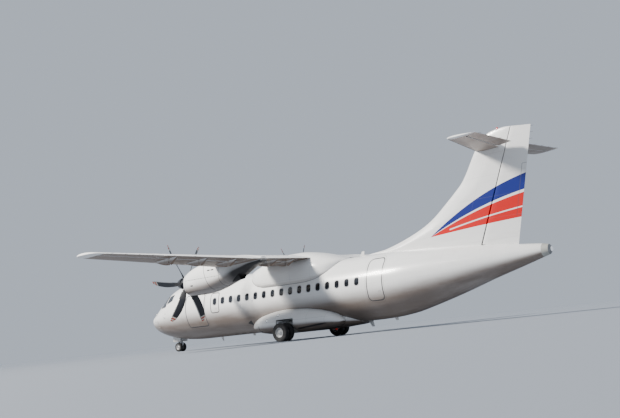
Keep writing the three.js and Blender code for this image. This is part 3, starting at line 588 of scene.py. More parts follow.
class AIRLINER_OT_body(bpy.types.Operator):
    """Make the three skins of the body with their openings"""

    bl_idname = "airliner.body"
    bl_label = "Body skins"

    def execute(self, context):
        for part, first, last in zip(("nose", "cabin", "tail"), BODY_JOINTS, BODY_JOINTS[1:]):
            skin = fuselage(f"{part}_skin", first, last)
            cut(skin, *[door_opening(door) for door in DOORS if first < door["x"][0] < last])
            if part == "nose":
                cut(skin, *nose_openings())
            else:
                cut(skin, *[window_row("holes", window_block(side)) for _, side in SIDES])
            finished(skin, "fuselage_paint", [f"fuselage_{part}"], angle=30)
            paint_faces(skin, "lining", inside_body)
        return {"FINISHED"}


def height_from(row, z):
    """How far a section reaches up from its widest point, or down for a height below it."""
    return row[1] - row[4] if z > row[4] else row[4] - row[2]


def inside_body(centre, normal):
    """True for a face that lies inside the body's skin."""
    station = centre.x - NOSE
    row = body_row(station)
    reach = math.hypot(centre.y / row[3], (centre.z - row[4]) / height_from(row, centre.z))
    return reach < 0.985 and 0.3 < station < LENGTH - 0.1 and abs(normal.x) < 0.999


STAIR = {
    "open": 125.0, "deep": 0.2, "root": 0.03, "thick": 0.022, "rail": 0.03, "inset": 0.09,
    # distances from the sill and from the head, and steps between
    "treads": (0.22, 0.42, 0.235), "rails": (0.12, 0.15, 0.12), "rail_depth": (0.03, 0.07),
}
DOOR_INSIDE = {"radius": 1.33, "height": 1.94}


def inner_face(z):
    """The side distance of the passenger door's inner face at a height."""
    return -math.sqrt(DOOR_INSIDE["radius"] ** 2 - (z - DOOR_INSIDE["height"]) ** 2)


def stair(door):
    """The steps and side rails on the passenger door, which lie level when the door is fully open."""
    def levels(key):
        low, high, pitch = STAIR[key]
        return spread(door["z"][0] + low, door["z"][1] - high, pitch)

    x0, x1 = door["x"][0] + STAIR["inset"], door["x"][1] - STAIR["inset"]
    fold = math.radians(STAIR["open"] - 90)
    run = Vector((0, math.sin(fold), math.cos(fold)))
    under = Vector((0, -run.z, run.y)) * STAIR["thick"]
    across = Vector((x1 - x0, 0, 0))
    parts = []
    for z in levels("treads"):
        corners = [at(x0, inner_face(z), z) + run * reach for reach in (-STAIR["root"], STAIR["deep"])]
        corners += [corners[1] + under, corners[0] + under]
        tread = loft("tread", [corners, [corner + across for corner in corners]])
        parts.append(bevelled(tread, 0.004, 2, lambda a, b: True))
    for x in (x0 - STAIR["rail"], x1):
        rings = []
        for z in levels("rails"):
            low, high = inner_face(z) - STAIR["rail_depth"][0], inner_face(z) + STAIR["rail_depth"][1]
            far = x + STAIR["rail"]
            rings.append([at(x, low, z), at(far, low, z), at(far, high, z), at(x, high, z)])
        parts.append(loft("rail", rings))
    return joined("passenger_door_stair", parts)


def door_ribs(door):
    """The frames on the inner face of the cargo door."""
    (x0, x1), (sill, head) = door["x"], door["z"]
    parts = []
    for x in spread(x0 + 0.12, x1 - 0.17, 0.24):
        shell = body_shell("rib", *around(door), -0.075, -0.13)
        parts.append(common(shell, block("slice", at(x, -2.0, sill + 0.1), at(x + 0.05, -0.3, head - 0.1))))
    return joined("cargo_door_ribs", parts)


class AIRLINER_OT_doors(bpy.types.Operator):
    """Make the doors and exits"""

    bl_idname = "airliner.doors"
    bl_label = "Doors and exits"

    def execute(self, context):
        for door in DOORS:
            name = door["name"]
            panel = door_panel(door)
            if "exit" in name:
                cut(panel, window_block(door["side"]))
            elif door["deep"]:
                trim = stair(door) if name == "passenger_door" else door_ribs(door)
                finished(trim, "stair_metal", body=name, slot="gear_metal")
            finished(panel, "fuselage_paint", [name], name if door["deep"] else "airframe", angle=30)
            paint_faces(panel, "lining", inside_body)
        return {"FINISHED"}


class AIRLINER_OT_windows(bpy.types.Operator):
    """Make the cabin windows and the cockpit glass"""

    bl_idname = "airliner.windows"
    bl_label = "Windows"

    def execute(self, context):
        near = (WINDOWS["first"] - 0.4, WINDOWS["first"] + 0.4)
        cockpit = (0.7, 2.9)
        for name, side in SIDES:
            rim = common(body_shell("rim", *near, 0.0035, -0.02), window_block(side, sizes().window_rim))
            cut(rim, window_block(side, -0.004))
            finished(window_row(f"window_rims_{name}", rim), "window_rim")
            pane = common(body_shell("pane", *near, -0.012, -0.019), window_block(side, -0.001))
            finished(window_row(f"window_panes_{name}", pane), "glass")
            panes = []
            seals = []
            for label, axis, outline in COCKPIT_PANES:
                pane = body_shell(label, *cockpit, -0.005, -0.0195)
                panes.append(common(pane, pane_prism(axis, outline, side)))
                seal = body_shell("seal", *cockpit, 0.0025, -0.012)
                common(seal, pane_prism(axis, outline, side, 0.022))
                seals.append(cut(seal, pane_prism(axis, outline, side, -0.012)))
            finished(joined(f"cockpit_glass_{name}", panes), "cockpit_glass")
            finished(joined(f"cockpit_seals_{name}", seals), "pane_frame")
        return {"FINISHED"}


# Belly fairing and the fairing under the wing

KEEL = [
    # station, top, bottom, half width, height of the widest point
    (7.7, 0.82, 0.52, 0.56, 0.7),
    (8.1, 0.95, 0.425, 0.9, 0.72),
    (8.7, 1.1, 0.35, 1.12, 0.74),
    (9.4, 1.18, 0.322, 1.23, 0.75),
    (11.3, 1.18, 0.32, 1.24, 0.75),
    (12.2, 1.13, 0.332, 1.19, 0.75),
    (12.9, 1.0, 0.375, 1.01, 0.72),
    (13.35, 0.85, 0.43, 0.74, 0.68),
    (13.62, 0.7, 0.49, 0.42, 0.62),
]
POD_SIDE = 1.15
POD_POWER = 2.2
POD_LEAN = {"from": 7.7, "to": 8.8, "in": 0.3}
POD = [
    (7.76, 0.84, 0.74, 0.04, 0.79),
    (7.9, 0.93, 0.655, 0.14, 0.79),
    (8.3, 1.11, 0.52, 0.33, 0.8),
    (8.9, 1.28, 0.41, 0.52, 0.81),
    (9.6, 1.39, 0.355, 0.66, 0.82),
    (10.3, 1.425, 0.345, 0.735, 0.82),
    (11.2, 1.38, 0.345, 0.745, 0.81),
    (12.0, 1.255, 0.365, 0.7, 0.78),
    (12.6, 1.09, 0.395, 0.59, 0.73),
    (12.95, 0.93, 0.445, 0.44, 0.69),
    (13.1, 0.81, 0.51, 0.27, 0.66),
    (13.19, 0.73, 0.575, 0.15, 0.65),
    (13.225, 0.68, 0.62, 0.06, 0.65),
]
SADDLE_POWER = 2.7
SADDLE = [
    (7.46, 3.35, 2.98, 0.3, 3.16),
    (7.6, 3.395, 2.9, 0.45, 3.15),
    (8.0, 3.5, 2.65, 1.0, 2.98),
    (8.5, 3.65, 2.4, 1.29, 2.82),
    (9.0, 3.84, 2.3, 1.375, 2.76),
    (9.6, 3.95, 2.3, 1.39, 2.75),
    (10.6, 3.95, 2.3, 1.39, 2.75),
    (11.3, 3.86, 2.31, 1.385, 2.76),
    (11.9, 3.72, 2.38, 1.34, 2.8),
    (12.4, 3.57, 2.56, 1.18, 2.9),
    (12.8, 3.435, 2.8, 0.86, 3.06),
    (13.06, 3.35, 3.0, 0.42, 3.16),
]
WHEEL_WELL = {"station": 9.66, "side": 0.54, "radius": 0.45, "roof": 0.9}
LEG_BAY = {
    "x": (9.94, 10.96), "low": 0.2,
    # from the middle outwards: side distances and roof height of the leg's room, then of the wheels' room
    "deep": (1.01, 1.5, 1.13), "wide": (1.4, 2.2, 0.98),
}


def pod_side(station, hand):
    """The side distance of a pod's middle, which leans in towards the body at its front."""
    share = (station - POD_LEAN["from"]) / (POD_LEAN["to"] - POD_LEAN["from"])
    share = min(max(share, 0.0), 1.0)
    return hand * (POD_SIDE - POD_LEAN["in"] * (1 - share) ** 2)


def fairing(name, table, power, count, side=lambda station: 0.0, step=0.08, grow=0.0):
    """A smooth fairing through a table's sections, with rounded ends; side gives its middle at a station."""
    first, last = table[0][0], table[-1][0]
    shape = {"power": power, "count": count, "grow": grow}
    rings = [rounded(*along(table, x), **shape, side=side(x)) for x in spread(first, last, step)]

    def cap(station, beyond):
        row = along(table, station)
        top, bottom = (row[4] + (value - row[4]) * 0.6 for value in row[1:3])
        return rounded(station + beyond, top, bottom, row[3] * 0.6, row[4], **shape, side=side(station))

    return loft(name, [cap(first, -0.02), *rings, cap(last, 0.02)])


def pod(hand, grow=0.0):
    """The gear pod of one side."""
    return fairing("pod", POD, POD_POWER, 56, lambda station: pod_side(station, hand), grow=grow)


def pod_skin(station, level, hand):
    """A place on a pod's outer skin above its widest line, and the direction that it faces."""
    _, top, _, half, middle = along(POD, station)
    up = (level - middle) / (top - middle)
    out = (1 - up ** POD_POWER) ** (1 / POD_POWER)
    facing = Vector((0, hand * out ** (POD_POWER - 1) / half, up ** (POD_POWER - 1) / (top - middle)))
    return at(station, pod_side(station, hand) + hand * half * out, level), facing.normalized()


def inside_bay(centre, normal):
    """True for a face of a wheel well or leg bay."""
    station, side = centre.x - NOSE, abs(centre.y)
    well = math.hypot(station - WHEEL_WELL["station"], side - WHEEL_WELL["side"])
    if well < WHEEL_WELL["radius"] + 0.002 and centre.z > 0.34:
        return abs(normal.z) < 0.01 or centre.z > WHEEL_WELL["roof"] - 0.002
    square = max(abs(value) for value in normal) > 0.9999
    (x0, x1), inner, outer = LEG_BAY["x"], LEG_BAY["deep"][0], LEG_BAY["wide"][1]
    return square and x0 - 0.001 <= station <= x1 + 0.001 and inner - 0.001 <= side < outer


def sealant(name, first, last, *wholes):
    """The thin dark bead where fairings meet the body."""
    beads = [common(body_shell(name, first, last, 0.004, -0.02), whole) for whole in wholes]
    return finished(joined(name, beads), "sealant")


def bays(hand):
    """The rooms that one side's wheels and leg take out of the belly fairing."""
    well, (x0, x1), low = WHEEL_WELL, LEG_BAY["x"], LEG_BAY["low"]
    ends = [at(well["station"], hand * well["side"], z) for z in (low, well["roof"])]
    tools = [rod("well", *ends, well["radius"], sides=64)]
    for room in ("deep", "wide"):
        inner, outer, roof = LEG_BAY[room]
        y = sorted((hand * inner, hand * outer))
        tools.append(block("bay", at(x0, y[0], low), at(x1, y[1], roof)))
    return tools


class AIRLINER_OT_fairings(bpy.types.Operator):
    """Make the belly fairing with its gear pods, and the fairing between body and wing"""

    bl_idname = "airliner.fairings"
    bl_label = "Fairings"

    def execute(self, context):
        belly = fairing("belly_skin", KEEL, 3.0, 72)
        shape_by(belly, "UNION", *[pod(hand) for _, hand in SIDES])
        for _, hand in SIDES:
            cut(belly, *bays(hand))
        cut(belly, fuselage("core", 7.0, 14.2, -0.004))
        finished(belly, "belly_paint", ["belly_fairing"], slot="painted_composite", angle=30)
        paint_faces(belly, "lining", inside_bay)
        grown = [pod(hand, 0.014) for _, hand in SIDES]
        sealant("belly_bead", 7.5, 13.8, fairing("grown", KEEL, 3.0, 72, grow=0.014), *grown)
        sealant("wing_fairing_bead", 7.3, 13.2, fairing("grown", SADDLE, SADDLE_POWER, 72, grow=0.016))
        saddle = fairing("wing_fairing_skin", SADDLE, SADDLE_POWER, 96)
        finished(saddle, "shell_paint", ["wing_fairing"], slot="painted_composite", angle=40)
        return {"FINISHED"}


# Wing

WING = {
    "kink": 4.83, "lead": 9.08, "chord": 2.57, "tip_lead": 9.38, "tip_chord": 1.41, "tip": 0.3, "boot": 0.085,
    "height": 3.62, "rise": 0.325, "incidence": 0.03, "root_thick": 0.175, "tip_thick": 0.13, "camber": 0.02,
}
FLAPS = {"start": 0.73, "drop": 0.3, "boat": 0.062, "gap": 0.01}
# How much of its wing's thickness a movable surface takes, at its round nose and behind it
SURFACE = {"nose": 0.96, "rear": 0.97}
WING_SURFACES = {
    # inner and outer end, share of the chord where the surface starts, places of its hinges
    "flap_inner": {"from": 1.56, "to": 3.39, "start": FLAPS["start"], "hinges": (1.9, 3.05)},
    "flap_outer": {"from": 4.9, "to": 9.24, "start": FLAPS["start"], "hinges": (5.56, 7.1, 8.64)},
    "aileron": {"from": 9.29, "to": 11.95, "start": 0.72, "hinges": ()},
}


def half_thickness(x, thick):
    """Half the thickness of a wing section at a share of its chord."""
    curve = 0.2969 * math.sqrt(x) - 0.126 * x - 0.3516 * x ** 2 + 0.2843 * x ** 3 - 0.1015 * x ** 4
    return 5 * thick * curve


def foil(chord, thick, camber, count=30):
    """Upper side from the rear edge to the nose, then the lower side back again, as (along, up)."""
    def side(hand):
        points = []
        for i in range(count):
            x = (1 - math.cos(i / (count - 1) * math.pi)) / 2
            half = max(half_thickness(x, thick), 0.0012)
            points.append((x * chord, (4 * camber * x * (1 - x) + hand * half) * chord))
        return points
    return [*reversed(side(1)), *side(-1)[1:]]


def wing_at(side):
    """Front edge, chord, height and thickness of the wing at a side distance."""
    share = max(0.0, (abs(side) - WING["kink"]) / (HALF_SPAN - WING["kink"]))
    return {
        "lead": WING["lead"] + (WING["tip_lead"] - WING["lead"]) * share,
        "chord": WING["chord"] + (WING["tip_chord"] - WING["chord"]) * share,
        "height": WING["height"] + WING["rise"] * share,
        "thick": WING["root_thick"] + (WING["tip_thick"] - WING["root_thick"]) * share,
    }


def wing_point(side, share, over=0.0):
    """A point of the wing at a side and a share of its chord, over the chord line."""
    w = wing_at(side)
    x = share * w["chord"]
    return at(w["lead"] + x, side, w["height"] + over - WING["incidence"] * (x - w["chord"] / 2))


def wing_ring(side, shrink=1.0, back=0.0):
    """The wing's section, made thinner by shrink and shorter at its front by back."""
    w = wing_at(side)
    ring = []
    for x, z in foil(w["chord"], w["thick"] * shrink, WING["camber"]):
        kept = back + x * (w["chord"] - back) / w["chord"]
        ring.append(wing_point(side, kept / w["chord"], z))
    return ring


def tip_rings(hand):
    """The rounded wing tip: it grows thin and its front edge sweeps back on a quarter ellipse."""
    rings = []
    for i in range(1, 10):
        turn = i / 9 * math.pi / 2 * 0.97
        side = HALF_SPAN - WING["tip"] + WING["tip"] * math.sin(turn)
        thin = max(0.06, math.cos(turn) ** 0.8)
        rings.append(wing_ring(hand * side, thin, 0.36 * (1 - math.cos(turn))))
    return rings


def surface_front(side, start=FLAPS["start"]):
    """Centre and radius of a surface's round nose inside the wing's section."""
    w = wing_at(side)
    radius = half_thickness(start, w["thick"]) * w["chord"] * SURFACE["nose"]
    return wing_point(side, start, 4 * WING["camber"] * start * (1 - start) * w["chord"]), radius


def movable_ring(point, chord, thick, camber, start, count, power, least):
    """Section of a movable surface: its wing's own rear part, with a round nose."""
    def bow(share):
        return 4 * camber * share * (1 - share) * chord

    upper = []
    lower = []
    for i in range(count + 1):
        share = start + (1 - start) * (1 - i / count) ** power
        half = max(half_thickness(share, thick) * SURFACE["rear"], least) * chord
        upper.append(point(share, bow(share) + half))
        lower.append(point(share, bow(share) - half))
    centre = point(start, bow(start))
    radius = half_thickness(start, thick) * chord * SURFACE["nose"]
    nose = []
    for i in range(1, count):
        turn = math.pi / 2 + math.pi * i / count
        nose.append(centre + Vector((math.cos(turn) * radius, 0, math.sin(turn) * radius)))
    return [*upper, *nose, *reversed(lower)]


def surface_ring(side, start):
    """Section of a flap or aileron."""
    w = wing_at(side)

    def point(share, over):
        return wing_point(side, share, over)

    return movable_ring(point, w["chord"], w["thick"], WING["camber"], start, 14, 1.3, 0.0015)


def surface_slot(hand, key):
    """The room of a flap or aileron in the wing."""
    s = WING_SURFACES[key]

    def front(side):
        centre, radius = surface_front(side, s["start"])
        return centre.x - NOSE - radius - FLAPS["gap"]

    outline = [(front(side), hand * side) for side in (s["from"], s["to"])]
    outline += [(12.5, hand * side) for side in (s["to"], s["from"])]
    return prism("slot", outline, 3.0, 4.6, axis=2)


def flap_pin(side):
    """The place of a flap's hinge pin, under its nose."""
    return surface_front(side)[0] - Vector((0, 0, FLAPS["drop"]))


BOAT = [
    # distance behind the pin, half width, bottom below the pin
    (-0.88, 0.008, -0.15),
    (-0.78, 0.03, -0.125),
    (-0.6, 0.052, -0.06),
    (-0.4, 0.062, 0.0),
    (-0.2, 0.064, 0.038),
    (-0.06, 0.064, 0.046),
]


def boat_rings(pin, side, table, tops, count=20):
    """Sections of a flap hinge's fairing: upright sides, and a round bottom."""
    rings = []
    for (back, half, under), top in zip(table, tops):
        low = pin.z - under
        x = pin.x + back
        points = []
        for i in range(count):
            turn = math.pi + math.pi * i / (count - 1)
            points.append(Vector((x, side + half * math.cos(turn), low + half * (1 + math.sin(turn)))))
        rings.append([*points, Vector((x, side + half, top)), Vector((x, side - half, top))])
    return rings


def fixed_boat(hand, side):
    """The front half of a hinge fairing, which stays on the wing."""
    table = [along(BOAT, x) for x in spread(BOAT[0][0], BOAT[-1][0], 0.06)]
    top = wing_at(side)["height"] - 0.03
    return loft("boat", boat_rings(flap_pin(hand * side), hand * side, table, [top] * len(table)))


def moving_boat(hand, side):
    """The rear half of a hinge fairing, which turns with its flap."""
    pin = flap_pin(hand * side)
    centre, _ = surface_front(hand * side)
    tail = wing_point(hand * side, 1.0)
    reach = 0.8 * (tail.x - pin.x)
    size = FLAPS["boat"]
    table = []
    tops = []
    for i in range(9):
        share = i / 8
        back = size + (reach - size) * share
        half = size * (1 - share ** 2) + 0.006
        edge = centre.z + (tail.z - centre.z) * (back / (tail.x - pin.x))
        under = pin.z - 0.046 + (edge - 0.02 - pin.z + 0.046) * share ** 1.2
        table.append((back, half, pin.z - under))
        tops.append(max(edge - 0.006, under + half * 0.6))
    return loft("boat_tail", boat_rings(pin, hand * side, table, tops))


def boot_face(front, low, high):
    """A test for the faces of a wing's front edge, between two side distances."""
    return lambda centre, normal: centre.x < front(centre.y) and low < abs(centre.y) < high


def wing_front(side):
    """Where the rubber boot on the wing's front edge ends."""
    w = wing_at(side)
    return NOSE + w["lead"] + WING["boot"] * w["chord"]


class AIRLINER_OT_wing(bpy.types.Operator):
    """Make the wing's centre, its outer panels, flaps, ailerons and hinge fairings"""

    bl_idname = "airliner.wing"
    bl_label = "Wing"

    def execute(self, context):
        kink = WING["kink"] - 0.002
        centre = loft("wing_centre_skin", [wing_ring(y) for y in spread(-kink, kink, 0.6)])
        cut(centre, *[surface_slot(hand, "flap_inner") for _, hand in SIDES])
        places = WING_SURFACES["flap_inner"]["hinges"]
        boats = [fixed_boat(hand, side) for _, hand in SIDES for side in places]
        centre = joined("wing_centre_skin", [centre, *boats])
        finished(centre, "wing_paint", ["wing_centre"])
        paint_faces(centre, "rubber_boot", boot_face(wing_front, 1.45, 3.4))
        for name, hand in SIDES:
            outer = [wing_ring(hand * y) for y in spread(WING["kink"] + 0.002, HALF_SPAN - WING["tip"], 0.6)]
            skin = loft(f"wing_{name}_skin", [*outer, *tip_rings(hand)])
            cut(skin, surface_slot(hand, "flap_outer"), surface_slot(hand, "aileron"))
            boats = [fixed_boat(hand, side) for side in WING_SURFACES["flap_outer"]["hinges"]]
            skin = joined(f"wing_{name}_skin", [skin, *boats])
            finished(skin, "wing_paint", [f"wing_{name}"])
            paint_faces(skin, "rubber_boot", boot_face(wing_front, 4.95, 11.9))
            for key, s in WING_SURFACES.items():
                node = f"{key}_{name}"
                ends = spread(s["from"] + 2 * FLAPS["gap"], s["to"] - 2 * FLAPS["gap"], 0.6)
                made = loft(f"{node}_skin", [surface_ring(hand * y, s["start"]) for y in ends])
                made = joined(f"{node}_skin", [made, *[moving_boat(hand, side) for side in s["hinges"]]])
                finished(made, "wing_paint", [node], node)
        return {"FINISHED"}


# Nacelles and propellers

SHAFT = {"station": 6.74, "side": 4.05, "height": 3.065, "hole": (6.75, 7.2, 0.3)}
NACELLE = [
    (6.88, 3.37, 2.56, 0.32, 2.98),
    (6.93, 3.43, 2.505, 0.4, 2.98),
    (7.08, 3.51, 2.462, 0.46, 2.985),
    (7.4, 3.64, 2.44, 0.525, 3.0),
    (7.9, 3.77, 2.43, 0.575, 3.02),
    (8.5, 3.87, 2.47, 0.6, 3.06),
    (9.0, 3.93, 2.57, 0.605, 3.11),
    (9.5, 3.945, 2.715, 0.59, 3.17),
    (10.0, 3.92, 2.88, 0.55, 3.26),
    (10.5, 3.87, 3.11, 0.48, 3.37),
    (11.0, 3.79, 3.33, 0.37, 3.48),
    (11.5, 3.68, 3.45, 0.22, 3.54),
]
INTAKE = {"half": 0.21, "z": (2.57, 2.74), "x": (6.7, 7.48)}
EXHAUST = {
    "from": (9.35, 0.07, 2.99), "to": (10.33, 0.11, 3.08), "radius": 0.235, "wall": 0.012, "deep": 0.33,
}
COWL_SEAMS = (7.12, 8.3, 9.35)
BLADE = [
    # radius, chord, thickness, pitch in degrees, sweep of the middle line
    (0.2, 0.15, 0.11, 62.0, 0.0),
    (0.33, 0.165, 0.08, 60.0, 0.0),
    (0.52, 0.25, 0.046, 54.0, -0.018),
    (0.85, 0.32, 0.032, 46.0, -0.038),
    (1.25, 0.33, 0.024, 39.0, -0.02),
    (1.6, 0.29, 0.017, 34.0, 0.035),
    (1.85, 0.215, 0.012, 31.0, 0.095),
    (1.965, 0.11, 0.008, 30.0, 0.14),
]
BLADES = 6
PHASE = {"left": 29.0, "right": 20.4}
SPINNER = [(0.0, -0.56), (0.035, -0.556), (0.07, -0.545), (0.105, -0.522), (0.14, -0.49), (0.175, -0.444),
           (0.205, -0.39), (0.232, -0.33), (0.25, -0.27), (0.266, -0.2), (0.275, -0.1403), (0.0, -0.1403)]
HUB = [(0.062, -0.138), (0.225, -0.138), (0.235, -0.128), (0.235, 0.11), (0.225, 0.12), (0.062, 0.12)]
CUFF = {"foot": 0.21, "head": 0.29, "radius": 0.085, "head_radius": 0.078}


def nacelle(name, hand):
    """A cowl with its intake under the spinner and a hole for its shaft."""
    side, half = hand * SHAFT["side"], INTAKE["half"]
    skin = fairing(f"nacelle_{name}_skin", NACELLE, 2.3, 72, lambda station: side, step=0.09)
    low, high = [at(x, y, z) for x, y, z in zip(INTAKE["x"], (side - half, side + half), INTAKE["z"])]
    *ends, radius = SHAFT["hole"]
    hole = rod("shaft_hole", *[at(x, side, SHAFT["height"]) for x in ends], radius, sides=48)
    return cut(skin, block("mouth", low, high, corner=0.08, axis=0, segments=8), hole)


def exhaust(name, hand):
    """The exhaust pipe: a thin tube that stands out of the cowl's rear."""
    ends = [at(x, hand * (SHAFT["side"] + y), z) for x, y, z in (EXHAUST["from"], EXHAUST["to"])]
    run = (ends[1] - ends[0]).normalized()
    r, wall, length = EXHAUST["radius"], EXHAUST["wall"], (ends[1] - ends[0]).length
    outline = [(r, 0.0), (r, length - 0.008), (r - wall / 2, length), (r - wall, length - 0.008),
               (r - wall, length - EXHAUST["deep"]), (0.0, length - EXHAUST["deep"]), (0.0, 0.0)]
    return lathe(f"exhaust_{name}", outline, ends[0], run, steps=48)


def blade_ring(row, count=20):
    """A blade's section: a thin lens set at its pitch."""
    radius, chord, thick, pitch, sweep = row
    turn = math.radians(pitch)
    points = []
    for c, s in circle(count):
        run = c * chord / 2 + sweep
        over = s * thick / 2
        points.append(Vector((-run * math.sin(turn) + over * math.cos(turn),
                              run * math.cos(turn) + over * math.sin(turn), radius)))
    return points


def about_shaft(points, degrees, hand):
    """Turns points about the shaft and puts them at it."""
    turn = math.radians(degrees)
    centre = at(SHAFT["station"], hand * SHAFT["side"], SHAFT["height"])
    c, s = math.cos(turn), math.sin(turn)
    return [centre + Vector((p.x, p.y * c - p.z * s, p.y * s + p.z * c)) for p in points]


def blade_strip(row, grow=0.0015):
    """Section of the metal strip that wraps a blade's front edge."""
    radius, chord, thick, pitch, sweep = row
    ring = blade_ring([radius, chord + 2 * grow, thick + 2 * grow, pitch, sweep], 40)
    return [point for i, point in enumerate(ring) if i <= 5 or i >= 35]


class AIRLINER_OT_engines(bpy.types.Operator):
    """Make the nacelles with their exhausts"""

    bl_idname = "airliner.engines"
    bl_label = "Nacelles"

    def execute(self, context):
        for name, hand in SIDES:
            cowl = nacelle(name, hand)
            finished(cowl, "cowl_paint", [f"nacelle_{name}"], slot="painted_composite", angle=40)
            finished(exhaust(name, hand), "sooty_metal", slot="engine_metal")
            core = bpy.data.objects[f"engine_{name}"].data
            core.materials.clear()
            core.materials.append(finish("sooty_metal"))
        return {"FINISHED"}


class AIRLINER_OT_propellers(bpy.types.Operator):
    """Make the propellers and spinners"""

    bl_idname = "airliner.propellers"
    bl_label = "Propellers"

    def execute(self, context):
        blade_rows = [along(BLADE, r) for r in (*spread(0.2, 1.9, 0.07), 1.93, 1.95, 1.96, 1.965)]
        strip_rows = [along(BLADE, r) for r in spread(0.85, 1.9, 0.07)]
        for name, hand in SIDES:
            rides = {"body": f"propeller_{name}", "slot": "blade", "angle": 50}
            centre = at(SHAFT["station"], hand * SHAFT["side"], SHAFT["height"])
            hub = lathe("hub", HUB, centre, (1, 0, 0), steps=48)
            blades = []
            cuffs = []
            strips = []
            for i in range(BLADES):
                turn = -PHASE[name] + i * 360 / BLADES
                blades.append(loft("blade", [about_shaft(blade_ring(row), turn, hand) for row in blade_rows]))
                ends = about_shaft([Vector((0, 0, CUFF[end])) for end in ("foot", "head")], turn, hand)
                cuffs.append(rod("cuff", *ends, CUFF["radius"], CUFF["head_radius"], sides=32, chamfer=0.006))
                rings = [about_shaft(blade_strip(row), turn, hand) for row in strip_rows]
                strips.append(loft("strip", rings))
            finished(joined(f"propeller_{name}_strips", strips), "nickel", **rides)
            made = joined(f"propeller_{name}_blades", [hub, *cuffs, *blades])
            finished(made, "blade_black", [f"propeller_{name}"], **rides)
            spinner = lathe(f"spinner_{name}_shell", SPINNER, centre, (1, 0, 0), steps=64)
            finished(spinner, "spinner_black", [f"spinner_{name}"], **rides)
        return {"FINISHED"}


# Fin, rudder and tailplane

FIN_LEAD = [
    # height, station of the front edge
    (3.0, 13.6), (3.372, 14.05), (3.48, 14.98), (3.6, 15.5), (3.79, 16.14), (4.03, 16.8), (4.28, 17.33),
    (4.58, 17.8), (4.94, 18.26), (5.33, 18.74), (5.73, 19.18), (6.88, 19.94), (6.96, 20.0), (7.18, 20.17),
    (7.35, 20.33), (7.47, 20.56), (7.55, 20.85), (7.59, 21.3),
]
FIN_TOP = ((21.3, 7.59), (22.6, 7.48))
RUDDER_FOOT = ((19.7, 3.095), (21.6, 2.845))
TAIL = {
    "half": 3.655, "height": 6.9, "root_lead": 19.95, "tip_lead": 20.75, "root_tail": 21.75,
    "tip_tail": 21.95, "thick": 0.11, "tip": 0.12, "boot": 0.09,
}
ELEVATOR = {"from": 0.33, "to": 3.48, "start": 0.66}


def fin_hinge(z):
    """Station of the rudder's hinge line at a height."""
    return 19.88 + 0.41 * (z - 3.08)


def fin_tail(z):
    """Station of the rudder's rear edge at a height."""
    return 21.34 + 0.254 * (z - 2.88)


def fin_half(z):
    """Half the fin's thickness at a height."""
    return 0.165 - 0.018 * (z - 3.0)


def fin_nose(z):
    """Radius of the rudder's round nose at a height."""
    return 0.72 * fin_half(z)


def fin_ring(z, count=20):
    """The fin's section at a height."""
    lead = along(FIN_LEAD, z)[1]
    aft = fin_hinge(z) - fin_nose(z) - FLAPS["gap"]
    half = fin_half(z)
    points = []
    for i in range(-count, count + 1):
        share = (abs(i) / count) ** 1.7
        back = (aft - lead) * share
        width = half * min(1.0, math.sqrt(back / 0.9)) * (1 - 0.22 * share ** 3)
        points.append(at(lead + back, math.copysign(width, i) if i else 0.0, z))
    return points


def rudder_ring(z, count=16):
    """The rudder's section at a height: a round nose and flat sides."""
    hinge, radius = fin_hinge(z), fin_nose(z)
    centre = at(hinge, 0, z)
    points = []
    for i in range(count + 1):
        turn = math.pi / 2 + math.pi * i / count
        points.append(centre + Vector((math.cos(turn) * radius, math.sin(turn) * radius, 0)))
    sides = []
    for i in range(1, 7):
        share = i / 6
        sides.append((hinge + (fin_tail(z) - hinge) * share, radius - (radius - 0.005) * share))
    return [*points, *[at(x, -y, z) for x, y in sides], *[at(x, y, z) for x, y in reversed(sides)]]


def across_line(piece, ends, keep_below):
    """Takes off what lies on one side of a line of stations and heights, and closes the cut."""
    (x0, z0), (x1, z1) = ends
    normal = Vector((-(z1 - z0), 0, x1 - x0)) * (1 if keep_below else -1)
    edit(piece)
    bpy.ops.mesh.bisect(plane_co=at(x0, 0, z0), plane_no=normal, use_fill=True, clear_outer=True)
    leave_closed()


def tail_at(side):
    """Front edge and chord of the tailplane at a side distance."""
    share = abs(side) / TAIL["half"]
    lead = TAIL["root_lead"] + (TAIL["tip_lead"] - TAIL["root_lead"]) * share
    return lead, TAIL["root_tail"] + (TAIL["tip_tail"] - TAIL["root_tail"]) * share - lead


def tail_ring(side, shrink=1.0, back=0.0):
    """The tailplane's section, made thinner by shrink and shorter at its front by back."""
    lead, chord = tail_at(side)
    points = foil(chord - back, TAIL["thick"] * shrink, 0.0, 24)
    return [at(lead + back + x, side, TAIL["height"] + z) for x, z in points]


def tail_front(side):
    """Where the rubber boot on the tailplane's front edge ends."""
    lead, chord = tail_at(side)
    return NOSE + lead + TAIL["boot"] * chord


def elevator_ring(side):
    """Section of an elevator."""
    lead, chord = tail_at(side)

    def point(share, over):
        return at(lead + chord * share, side, TAIL["height"] + over)

    return movable_ring(point, chord, TAIL["thick"], 0.0, ELEVATOR["start"], 12, 1.0, 0.0016)


def elevator_slot(hand):
    """The room of an elevator in the tailplane."""
    def front(side):
        lead, chord = tail_at(side)
        radius = half_thickness(ELEVATOR["start"], TAIL["thick"]) * chord * SURFACE["nose"]
        return lead + chord * ELEVATOR["start"] - radius - FLAPS["gap"]

    inner, outer = -0.06 * hand, hand * ELEVATOR["to"]
    outline = [(front(0), inner), (front(0), 0), (front(ELEVATOR["to"]), outer), (22.6, outer), (22.6, inner)]
    return prism("slot", outline, 6.4, 7.4, axis=2)


